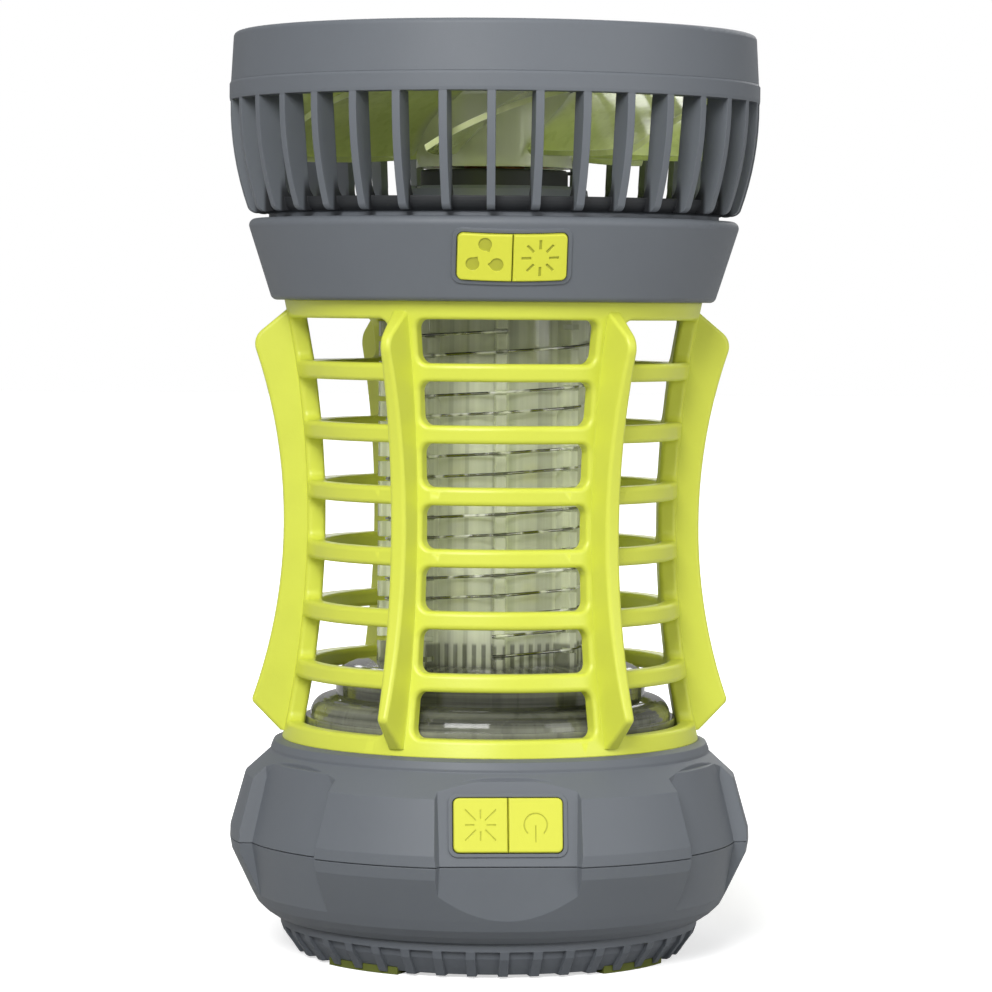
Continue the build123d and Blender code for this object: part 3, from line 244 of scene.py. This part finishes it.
def grey_finish(settings):
    """The shells of the base, the collar and the fan head."""
    return new_finish("grey_shell", lambda net: grey_shell(net, settings))


def basket_finish(settings):
    """The grey shell finish, with painted shade on the floor that the slats rise from."""
    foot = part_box("fan_basket")[0].z
    floor_low, floor_high = (foot + height for height in painted_shade_band)

    def sockets(net):
        made = grey_shell(net, settings)
        height = net.along()[2]
        inside = 1 - net.radius().above(half_width - slat_depth, width=1.2 * mm)
        low = 1 - height.above(floor_high, width=5 * mm)
        # painted shade: the basket's floor between the slats is darkened
        floor = inside * low * height.above(floor_low, width=0.4 * mm)
        made["Base Color"] = net.shade(made["Base Color"], 1 - floor * painted_shade_darkness)
        return made

    return new_finish("grey_basket", sockets)


def lime_finish(settings):
    """The glossier plastic of the cage, with a coarser grain and an even tone."""
    def sockets(net):
        return moulded(
            net, settings.cage_lime, 0.5 * mm, roughness=0.36, rounding=0.45 * mm, tone=0.025, edge_highlight=0.04
        )

    return new_finish("lime_cage", sockets)


def key_finish(name, settings, keys, joint_name, depth, sign_shade_tone, turned):
    """Lime keys whose signs, set in by depth, are darkened by painted shade.

    The faces are square to the travel of the joint that is named, and turned about the upright axis
    where the keys sit on a cone.
    """
    travel = next(joint["axis"] for joint in frame["joints"] if joint["name"] == joint_name)
    facing = -Vector(travel).normalized()
    softness = 0.3 * depth

    def level_of(point):
        """How far out a point is, the way the face looks."""
        front = -math.hypot(point.x, point.y) if turned else point.y
        return facing.y * front + facing.z * point.z

    face = max(level_of(corner.co) for key in keys for corner in frame["nodes"][key].data.vertices)

    def sockets(net):
        made = moulded(
            net, settings.key_lime, 0.35 * mm, roughness=0.5, rounding=0.25 * mm, tone=0.02, edge_highlight=0.05
        )
        _, along, height = net.along()
        front = net.radius() * -1 if turned else along
        level = front * facing.y + height * facing.z
        # painted shade: the floors of the signs, below the face, are darkened
        below_face = 1 - level.above(face - 0.55 * depth, softness)
        painted_sign_shade = below_face * level.above(face - 1.35 * depth, softness)
        made["Base Color"] = net.shade(made["Base Color"], 1 - painted_sign_shade * (1 - sign_shade_tone))
        return made

    return new_finish(name, sockets)


def soft_finish(name, colour, roughness=0.78):
    """Rubber, sleeves and dark moulded parts."""
    def sockets(net):
        return moulded(net, colour, 0.3 * mm, roughness, rounding=0.3 * mm, tone=0.08, edge_highlight=0.12)

    return new_finish(name, sockets)


def clear_finish(name, colour, tone, clearness, roughness, ripple, scratch, lines):
    """Hazy clear plastic that lets lamps through, with flow ripples, drawn lines and scratches."""
    material, net = new_net(name)
    flow = net.noise(6 * mm, stretch=(1, 1, 0.35))
    hair = net.noise(1.2 * mm, stretch=(1, 1, 0.06)).above(edge=0.62, width=0.1)
    drawn = net.noise(2.2 * mm, detail=3.0, roughness=0.65, stretch=(1, 1, 0.02))
    bands = net.noise(3.4 * mm, detail=1.0, stretch=(1, 1, 0.01)).above(edge=0.58, width=0.04)
    base = net.shade(colour4(colour), 1 + drawn.swing() * lines - bands * (lines * 0.35))
    body = net.add(
        "ShaderNodeBsdfPrincipled",
        {},
        {
            "Base Color": tone(net, base),
            "Transmission Weight": clearness,
            "IOR": 1.45,
            "Roughness": roughness + (hair + flow.swing()) * scratch,
            "Normal": net.relief(flow, ripple, 0.3 * mm),
        },
    )
    through = net.add("ShaderNodeBsdfTransparent", {}, {"Color": colour4(colour)})
    lamp_ray = net.add("ShaderNodeLightPath", out="Is Shadow Ray")
    net.finish(net.add("ShaderNodeMixShader", {}, {0: lamp_ray, 1: body, 2: through}))
    return material


def tube_finish(settings):
    """The lamp tube: darker in its ringed foot, and fluted in tone where its socket shows through."""
    flutes_low, flutes_high = (foot_top + height for height in flute_band)

    def tone(net, base):
        across, along, height = net.along()
        wave = net.number("COSINE", net.number("ARCTAN2", across, along) * flute_count)
        gaps = 1 - wave.above(edge=-0.1, width=0.8)
        below_top = 1 - height.above(flutes_high, width=1 * mm)
        fluted = height.above(flutes_low, width=1 * mm) * below_top
        deep = net.shade(base, 1 - fluted * gaps * 0.6)
        rings = net.noise(1.5 * mm, roughness=0.6, stretch=(0.02, 0.02, 1))
        foot_tone = 0.16 + (rings - 0.4) * 0.8
        upper = height.above(foot_top, width=3 * mm)
        return net.shade(deep, upper + (1 - upper) * foot_tone)

    return clear_finish(
        "clear_tube", settings.tube_tint, tone,
        clearness=0.46, roughness=0.06, ripple=0.05 * mm, scratch=0.05, lines=0.52,
    )


def fan_finish(settings):
    """The see-through fan: a paler hub, and a painted highlight on the blades' edges."""
    def tone(net, base):
        hub = 1 - net.radius().above(hub_radius, width=3 * mm)
        pale = net.mix(hub * 0.75, base, colour4(settings.fan_hub))
        # painted highlight: the blades' edges are blended towards a pale colour
        return net.mix(net.edge(0.4 * mm) * 0.7, pale, colour4(settings.fan_edge_highlight))

    return clear_finish(
        "tinted_fan", settings.fan_tint, tone,
        clearness=0.42, roughness=0.14, ripple=0.04 * mm, scratch=0.08, lines=0.2,
    )


# ---------------------------------------------------------------- metal, boards and lamps
def metal_finish(name, colour, roughness, stretch=None):
    """Bare or plated metal with drawn lines and a little tarnish."""
    def sockets(net):
        lines = net.noise(0.4 * mm, roughness=0.6, stretch=stretch)
        dull = net.noise(5 * mm, detail=3.0).swing()
        return {
            "Base Color": net.shade(colour4(colour), 0.9 + lines * 0.14 + dull * 0.1),
            "Metallic": 1.0,
            "Roughness": roughness + lines.swing() * 0.16 + dull * 0.12,
            "Normal": net.relief(lines, 0.01 * mm, 0.12 * mm),
        }

    return new_finish(name, sockets)


def wire_finish(name, colour, bright):
    """Bare wire, stretched by hand, with small kinks and painted glints along it."""
    def sockets(net):
        kinks = net.noise(6 * mm, roughness=0.6)
        # painted glints: stretches of the wire are made pale and less metallic
        glint = kinks.above(edge=0.54, width=0.16)
        return {
            "Base Color": net.mix(glint, colour4(colour), colour4(bright)),
            "Metallic": 1 - glint * 0.7,
            "Roughness": 0.15 + glint * 0.1,
            "Normal": net.relief(kinks, 0.3 * mm),
        }

    return new_finish(name, sockets)


def wound_finish(name, colour):
    """Enamelled copper wire wound in close turns."""
    def sockets(net):
        turns = net.add(
            "ShaderNodeTexWave",
            {"bands_direction": "Z"},
            {"Vector": net.place(), "Scale": 1 / (3.0 * mm), "Distortion": 0.6},
        )
        dull = net.noise(4 * mm)
        return {
            "Base Color": net.shade(colour4(colour), 0.7 + turns * 0.35 + dull * 0.1),
            "Metallic": 1.0,
            "Roughness": 0.3 + dull * 0.15,
            "Normal": net.relief(turns, 0.12 * mm),
        }

    return new_finish(name, sockets)


def board_finish(name, mask, track):
    """Solder mask over copper, whose tracks show as a slightly lighter grid."""
    def sockets(net):
        spots = net.add(
            "ShaderNodeTexVoronoi",
            {"feature": "F1", "distance": "CHEBYCHEV"},
            {"Vector": net.place(), "Scale": 1 / (2.4 * mm)},
        )
        lanes = 1 - spots.above(edge=0.32, width=0.06)
        fine = net.noise(0.8 * mm)
        return {
            "Base Color": net.mix(lanes * 0.55, colour4(mask), colour4(track)),
            "Roughness": 0.34 + fine * 0.12,
            "Normal": net.relief(lanes + fine * 0.2, 0.02 * mm, 0.1 * mm),
        }

    return new_finish(name, sockets)


def lamp_finish(name, colour, rim):
    """The resin face of a small lamp, with a rim of its own colour."""
    def sockets(net):
        resin = net.noise(0.9 * mm)
        face = net.shade(colour4(colour), 0.92 + resin * 0.16)
        return {
            "Base Color": net.mix(net.edge(0.3 * mm), face, colour4(rim)),
            "Roughness": 0.25 + resin * 0.15,
            "Coat Weight": 0.4,
            "Normal": net.relief(resin, 0.01 * mm, 0.12 * mm),
        }

    return new_finish(name, sockets)


# ---------------------------------------------------------------- settings
def colour_property(name, description, default):
    return bpy.props.FloatVectorProperty(
        name=name, description=description, default=default,
        subtype="COLOR", size=3, min=0.0, max=1.0,
    )


def length_property(name, description, default):
    return bpy.props.FloatProperty(
        name=name, description=description, default=default, unit="LENGTH", min=0.0,
    )


def angle_property(name, description, degrees):
    return bpy.props.FloatProperty(
        name=name, description=description, default=math.radians(degrees), unit="ROTATION",
    )


class LanternFinishes(bpy.types.PropertyGroup):
    """Colours and grain of the plastic and rubber outside."""

    shell_grey: colour_property(
        "Shell grey", "Colour of the base, collar and fan head", (0.135, 0.149, 0.168)
    )
    shell_grain: length_property("Shell grain", "Size of the grey shells' moulded grain", 0.28 * mm)
    cage_lime: colour_property("Cage lime", "Colour of the slotted cage", (0.69, 0.745, 0.08))
    key_lime: colour_property("Key lime", "Colour of the four keys", (0.70, 0.72, 0.055))
    foot_lime: colour_property("Foot lime", "Colour of the rubber feet", (0.13, 0.155, 0.022))
    flap_grey: colour_property("Flap grey", "Colour of the rubber port flap", (0.1, 0.11, 0.12))
    tube_tint: colour_property("Tube tint", "Colour of the clear lamp tube", (0.87, 0.895, 0.745))
    fan_tint: colour_property("Fan tint", "Colour of the see-through fan", (0.86, 0.93, 0.48))
    fan_hub: colour_property("Fan hub", "Colour of the fan's hub", (0.84, 0.87, 0.72))
    # the colour of the painted highlight on the blades' edges
    fan_edge_highlight: colour_property("Fan edges", "Colour of the blades' edges", (0.95, 0.96, 0.88))


class LanternInnerFinishes(bpy.types.PropertyGroup):
    """Colours of the motor, the lamp and what the base holds."""

    dark: colour_property("Dark parts", "The motor's stand and the holder", (0.028, 0.031, 0.031))
    can: colour_property("Motor can", "The magnet can of the motor", (0.62, 0.62, 0.63))
    copper: colour_property("Copper", "The motor's windings", (0.72, 0.36, 0.15))
    steel: colour_property("Steel", "The motor's shaft and bearings", (0.6, 0.6, 0.6))
    zinc: colour_property("Zinc", "The screws and pins", (0.62, 0.62, 0.64))
    port: colour_property("Port", "The shell of the charging socket", (0.65, 0.65, 0.66))
    wire: colour_property("Wire", "The high-voltage wires", (0.3, 0.3, 0.29))
    # the colour of the painted glints on the wires
    wire_glint: colour_property("Wire kinks", "The bright kinks of the wires", (0.92, 0.93, 0.88))
    socket: colour_property("Lamp socket", "The fluted lamp socket", (0.07, 0.075, 0.07))
    mast: colour_property("Mast", "The square lamp mast", (0.62, 0.63, 0.58))
    lead: colour_property("Leads", "The mast's sleeved leads", (0.02, 0.02, 0.024))
    strip: colour_property("Light strips", "Mask of the light strips", (0.66, 0.69, 0.56))
    strip_track: colour_property("Strip tracks", "Tracks of the light strips", (0.72, 0.74, 0.6))
    white_lamp: colour_property("White lamps", "Resin of the white lamps", (0.8, 0.76, 0.1))
    white_rim: colour_property("White lamp rims", "Rims of the white lamps", (0.6, 0.6, 0.5))
    violet_lamp: colour_property("Violet lamps", "Resin of the violet lamps", (0.36, 0.37, 0.33))
    violet_rim: colour_property("Violet lamp rims", "Rims of the violet lamps", (0.46, 0.47, 0.4))
    board: colour_property("Boards", "Mask of the boards in the shells", (0.02, 0.11, 0.05))
    board_track: colour_property("Board tracks", "Tracks of those boards", (0.04, 0.2, 0.09))
    cell: colour_property("Cells", "The wrap of the battery cells", (0.05, 0.2, 0.45))
    part: colour_property("Electric parts", "Transformer and capacitors", (0.02, 0.02, 0.02))
    switch: colour_property("Switches", "The key switches", (0.03, 0.03, 0.03))


class LanternStage(bpy.types.PropertyGroup):
    """Floor, even light and camera."""

    floor_colour: colour_property("Floor colour", "Colour of the plain floor", (0.6, 0.6, 0.6))
    floor_glow: bpy.props.FloatProperty(
        name="Floor glow", description="How far the seen floor is lifted to white", default=0.6,
        subtype="FACTOR", min=0.0, max=1.0,
    )
    sky: bpy.props.FloatProperty(
        name="Sky", description="Strength of the even light from all round", default=0.26, min=0.0
    )
    camera_distance: length_property("Camera distance", "From the lantern's axis", 1.033)
    camera_height: length_property("Camera height", "Above the floor", 0.1641)
    camera_swing: angle_property("Camera swing", "Round the lantern, from straight in front", -4.3)
    camera_tilt: angle_property("Camera tilt", "Down from level", 2.74)
    camera_pan: angle_property("Camera pan", "Away from the lantern's axis", -0.058)
    camera_roll: angle_property("Camera roll", "About the line of sight", 0.45)
    lens: bpy.props.FloatProperty(
        name="Lens", description="Focal length of the camera", default=148.8, unit="CAMERA"
    )


# ---------------------------------------------------------------- one operator for each group
class FinishShells(bpy.types.Operator):
    """Give the grey base, collar, fan head and hook their moulded finish"""

    bl_idname = "lantern.finish_shells"
    bl_label = "Grey shells"

    def execute(self, context):
        settings = context.scene.lantern_finishes
        shells = (
            "base_upper_shell", "base_lower_shell", "bottom_cover", "collar_shell",
            "collar_cover", "fan_guard", "motor_pedestal", "hanging_hook",
        )
        dress(shells, grey_finish(settings))
        dress(["fan_basket"], basket_finish(settings))
        return {"FINISHED"}


class FinishCage(bpy.types.Operator):
    """Give the slotted cage its lime finish"""

    bl_idname = "lantern.finish_cage"
    bl_label = "Lime cage"

    def execute(self, context):
        dress(["cage"], lime_finish(context.scene.lantern_finishes))
        return {"FINISHED"}


class FinishKeys(bpy.types.Operator):
    """Give the four keys their lime finish, with painted shade in their signs"""

    bl_idname = "lantern.finish_keys"
    bl_label = "Keys"

    def execute(self, context):
        settings = context.scene.lantern_finishes
        upper, lower = ("fan_key", "light_key"), ("burst_key", "power_key")
        dress(upper, key_finish(
            "upper_keys", settings, upper, "fan_key_press",
            depth=0.3 * mm, sign_shade_tone=0.64, turned=True,
        ))
        dress(lower, key_finish(
            "lower_keys", settings, lower, "burst_key_press",
            depth=0.15 * mm, sign_shade_tone=0.8, turned=False,
        ))
        return {"FINISHED"}


class FinishRubber(bpy.types.Operator):
    """Give the feet and the port flap a soft rubber finish"""

    bl_idname = "lantern.finish_rubber"
    bl_label = "Rubber feet and flap"

    def execute(self, context):
        settings = context.scene.lantern_finishes
        dress(["rubber_feet"], soft_finish("lime_rubber", settings.foot_lime))
        dress(["port_flap"], soft_finish("grey_rubber", settings.flap_grey))
        return {"FINISHED"}


class FinishTube(bpy.types.Operator):
    """Give the lamp tube its clear finish, and its fluted socket a dark one"""

    bl_idname = "lantern.finish_tube"
    bl_label = "Lamp tube and socket"

    def execute(self, context):
        inner = context.scene.lantern_inner_finishes
        dress(["lamp_tube"], tube_finish(context.scene.lantern_finishes))
        dress(["lamp_socket"], soft_finish("socket_grey", inner.socket, roughness=0.4))
        return {"FINISHED"}


class FinishFan(bpy.types.Operator):
    """Give the fan, its motor and its shaft their finishes"""

    bl_idname = "lantern.finish_fan"
    bl_label = "Fan and motor"

    def execute(self, context):
        inner = context.scene.lantern_inner_finishes
        drawn = (1, 1, 0.1)
        dress(["fan_rotor"], fan_finish(context.scene.lantern_finishes))
        dress(["motor_base"], soft_finish("dark_motor", inner.dark, roughness=0.55))
        dress(["rotor_can"], metal_finish("motor_can", inner.can, 0.3, drawn))
        dress(["motor_coils"], wound_finish("copper_winding", inner.copper))
        dress(["fan_shaft", "motor_bearings"], metal_finish("shaft_steel", inner.steel, 0.22, drawn))
        return {"FINISHED"}


class FinishLamp(bpy.types.Operator):
    """Give the mast, its boards, lamps and leads, and the high-voltage wires, their finishes"""

    bl_idname = "lantern.finish_lamp"
    bl_label = "Lamp mast and wires"

    def execute(self, context):
        inner = context.scene.lantern_inner_finishes
        dress(["led_mast"], metal_finish("mast_aluminium", inner.mast, 0.5, (1, 1, 0.05)))
        dress(["led_boards"], board_finish("white_board", inner.strip, inner.strip_track))
        dress(["white_leds"], lamp_finish("white_lamps", inner.white_lamp, inner.white_rim))
        dress(["uv_leds"], lamp_finish("violet_lamps", inner.violet_lamp, inner.violet_rim))
        dress(["mast_leads"], soft_finish("sleeved_leads", inner.lead, roughness=0.5))
        wires = ("zapper_wire_a", "zapper_wire_b")
        dress(wires, wire_finish("grid_steel", inner.wire, inner.wire_glint))
        return {"FINISHED"}


class FinishInside(bpy.types.Operator):
    """Give the boards, cells and small electric parts in the shells their finishes"""

    bl_idname = "lantern.finish_inside"
    bl_label = "Electric parts inside"

    def execute(self, context):
        inner = context.scene.lantern_inner_finishes
        boards = ("power_board", "charge_board", "lower_key_board", "upper_key_board")
        switches = ("lower_key_switches", "upper_key_switches")
        parts = ("transformer", "capacitors")
        dress(boards, board_finish("green_board", inner.board, inner.board_track))
        dress(["battery_holder"], soft_finish("holder_black", inner.dark, roughness=0.6))
        dress(["battery_cells"], soft_finish("cell_wrap", inner.cell, roughness=0.3))
        dress(parts, soft_finish("part_black", inner.part, roughness=0.35))
        dress(switches, soft_finish("switch_black", inner.switch, roughness=0.5))
        dress(["usb_socket"], metal_finish("port_steel", inner.port, 0.3))
        return {"FINISHED"}


class FinishScrews(bpy.types.Operator):
    """Give every screw and pin its plated finish"""

    bl_idname = "lantern.finish_screws"
    bl_label = "Screws and pins"

    def execute(self, context):
        fasteners = (
            "cover_screws", "deck_screws", "lamp_screws", "collar_screws",
            "head_screws", "motor_screws", "hook_pins", "port_pin",
        )
        zinc = context.scene.lantern_inner_finishes.zinc
        dress(fasteners, metal_finish("zinc_plate", zinc, 0.34, (1, 1, 0.3)))
        return {"FINISHED"}


# ---------------------------------------------------------------- stage
softboxes = (
    # name, place and size in metres, and watts
    ("softbox_left", (-0.5, -1.4, 1.0), (0.8, 0.8), 24),
    ("softbox_right", (1.3, -1.1, 0.6), (1.0, 1.0), 8),
    ("softbox_top", (0.0, -0.2, 1.5), (1.2, 1.2), 4),
    ("softbox_back", (0.4, 1.4, 0.9), (1.2, 1.0), 9),
)
lit_point = Vector((0, 0, 0.12))         # what the softboxes face
floor_reach = 6.0
gloss_share = 0.1                # how much of the white surround shows in gloss


class BuildStage(bpy.types.Operator):
    """Lay the floor and set the softboxes, the even light all round and the camera"""

    bl_idname = "lantern.build_stage"
    bl_label = "Stage, light and camera"

    def execute(self, context):
        settings = context.scene.lantern_stage
        self.floor(context.scene, settings)
        self.even_light(context.scene, settings)
        for softbox in softboxes:
            self.softbox(context.scene, *softbox)
        self.camera(context.scene, settings)
        context.scene.view_settings.view_transform = "Standard"
        return {"FINISHED"}

    def floor(self, scene, settings):
        """A plain floor that is lifted to white where it is seen, and wholly white far away."""
        mesh = bpy.data.meshes.new("floor")
        far = floor_reach
        corners = [(-far, -far, 0), (far, -far, 0), (far, far, 0), (-far, far, 0)]
        mesh.from_pydata(corners, [], [(0, 1, 2, 3)])
        floor = bpy.data.objects.new("floor", mesh)
        scene.collection.objects.link(floor)
        floor.location.z = cad_low.z
        material, net = new_net("plain_floor")
        plain = net.add(
            "ShaderNodeBsdfDiffuse", {}, {"Color": colour4(settings.floor_colour), "Roughness": 1.0}
        )
        seen = net.add("ShaderNodeLightPath", out="Is Camera Ray")
        spread = net.vector("LENGTH", net.place(), out="Value")
        away = spread.above(4 * half_width, 5 * half_width)
        glow = seen * (settings.floor_glow + away * (1 - settings.floor_glow))
        lift = net.add("ShaderNodeEmission", {}, {"Color": white, "Strength": glow})
        net.finish(net.add("ShaderNodeAddShader", {}, {0: plain, 1: lift}))
        mesh.materials.append(material)

    def even_light(self, scene, settings):
        """A dim sky for light, which is white where it is seen, straight or through clear plastic."""
        world = bpy.data.worlds.new("even_light")
        world.use_nodes = True
        net = Net(world.node_tree)
        straight = net.add("ShaderNodeLightPath", out="Is Camera Ray")
        gloss = net.add("ShaderNodeLightPath", out="Is Glossy Ray")
        through = net.add("ShaderNodeLightPath", out="Is Transmission Ray")
        either = {"operation": "ADD", "use_clamp": True}
        seen = net.add("ShaderNodeMath", either, {0: straight, 1: through})
        strength = settings.sky + seen * (1 - settings.sky) + gloss * gloss_share
        back = net.add("ShaderNodeBackground", {}, {"Color": white, "Strength": strength})
        net.add("ShaderNodeOutputWorld", {}, {"Surface": back})
        scene.world = world

    def softbox(self, scene, name, place, size, watts):
        data = bpy.data.lights.new(name, "AREA")
        data.shape = "RECTANGLE"
        data.size, data.size_y = size
        data.energy = watts
        lamp = bpy.data.objects.new(name, data)
        scene.collection.objects.link(lamp)
        lamp.location = place
        lamp.rotation_mode = "QUATERNION"
        lamp.rotation_quaternion = (lit_point - Vector(place)).to_track_quat("-Z", "Y")

    def camera(self, scene, settings):
        data = bpy.data.cameras.new("camera")
        data.lens = settings.lens
        data.sensor_width = 36.0
        data.clip_start, data.clip_end = 0.02, 20.0
        camera = bpy.data.objects.new("camera", data)
        scene.collection.objects.link(camera)
        swing, distance = settings.camera_swing, settings.camera_distance
        camera.location = (
            distance * math.sin(swing), -distance * math.cos(swing), settings.camera_height
        )
        level = math.pi / 2
        aim = Euler((level - settings.camera_tilt, 0, swing + settings.camera_pan)).to_matrix()
        roll = Euler((0, 0, settings.camera_roll)).to_matrix()
        camera.rotation_euler = (aim @ roll).to_euler()
        scene.camera = camera


class LanternPanel(bpy.types.Panel):
    """The lantern's steps, in order, and its settings"""

    bl_idname = "VIEW3D_PT_lantern"
    bl_label = "Insect lamp"
    bl_space_type = "VIEW_3D"
    bl_region_type = "UI"
    bl_category = "Insect lamp"

    def draw(self, context):
        scene = context.scene
        for step in steps:
            self.layout.operator(step.bl_idname)
        for group in (scene.lantern_finishes, scene.lantern_inner_finishes, scene.lantern_stage):
            box = self.layout.box()
            for name in group.bl_rna.properties.keys():
                if name not in ("rna_type", "name"):
                    box.prop(group, name)


steps = (
    BuildStage, FinishShells, FinishCage, FinishKeys, FinishRubber,
    FinishTube, FinishFan, FinishLamp, FinishInside, FinishScrews,
)
classes = (LanternFinishes, LanternInnerFinishes, LanternStage, *steps, LanternPanel)


def register():
    for cls in classes:
        bpy.utils.register_class(cls)
    scene_type = bpy.types.Scene
    scene_type.lantern_finishes = bpy.props.PointerProperty(type=LanternFinishes)
    scene_type.lantern_inner_finishes = bpy.props.PointerProperty(type=LanternInnerFinishes)
    scene_type.lantern_stage = bpy.props.PointerProperty(type=LanternStage)


def unregister():
    del bpy.types.Scene.lantern_stage
    del bpy.types.Scene.lantern_inner_finishes
    del bpy.types.Scene.lantern_finishes
    for cls in reversed(classes):
        bpy.utils.unregister_class(cls)


def main():
    register()
    bpy.ops.lantern.build_stage()
    bpy.ops.lantern.finish_shells()
    bpy.ops.lantern.finish_cage()
    bpy.ops.lantern.finish_keys()
    bpy.ops.lantern.finish_rubber()
    bpy.ops.lantern.finish_tube()
    bpy.ops.lantern.finish_fan()
    bpy.ops.lantern.finish_lamp()
    bpy.ops.lantern.finish_inside()
    bpy.ops.lantern.finish_screws()


if __name__ == "__main__":
    main()
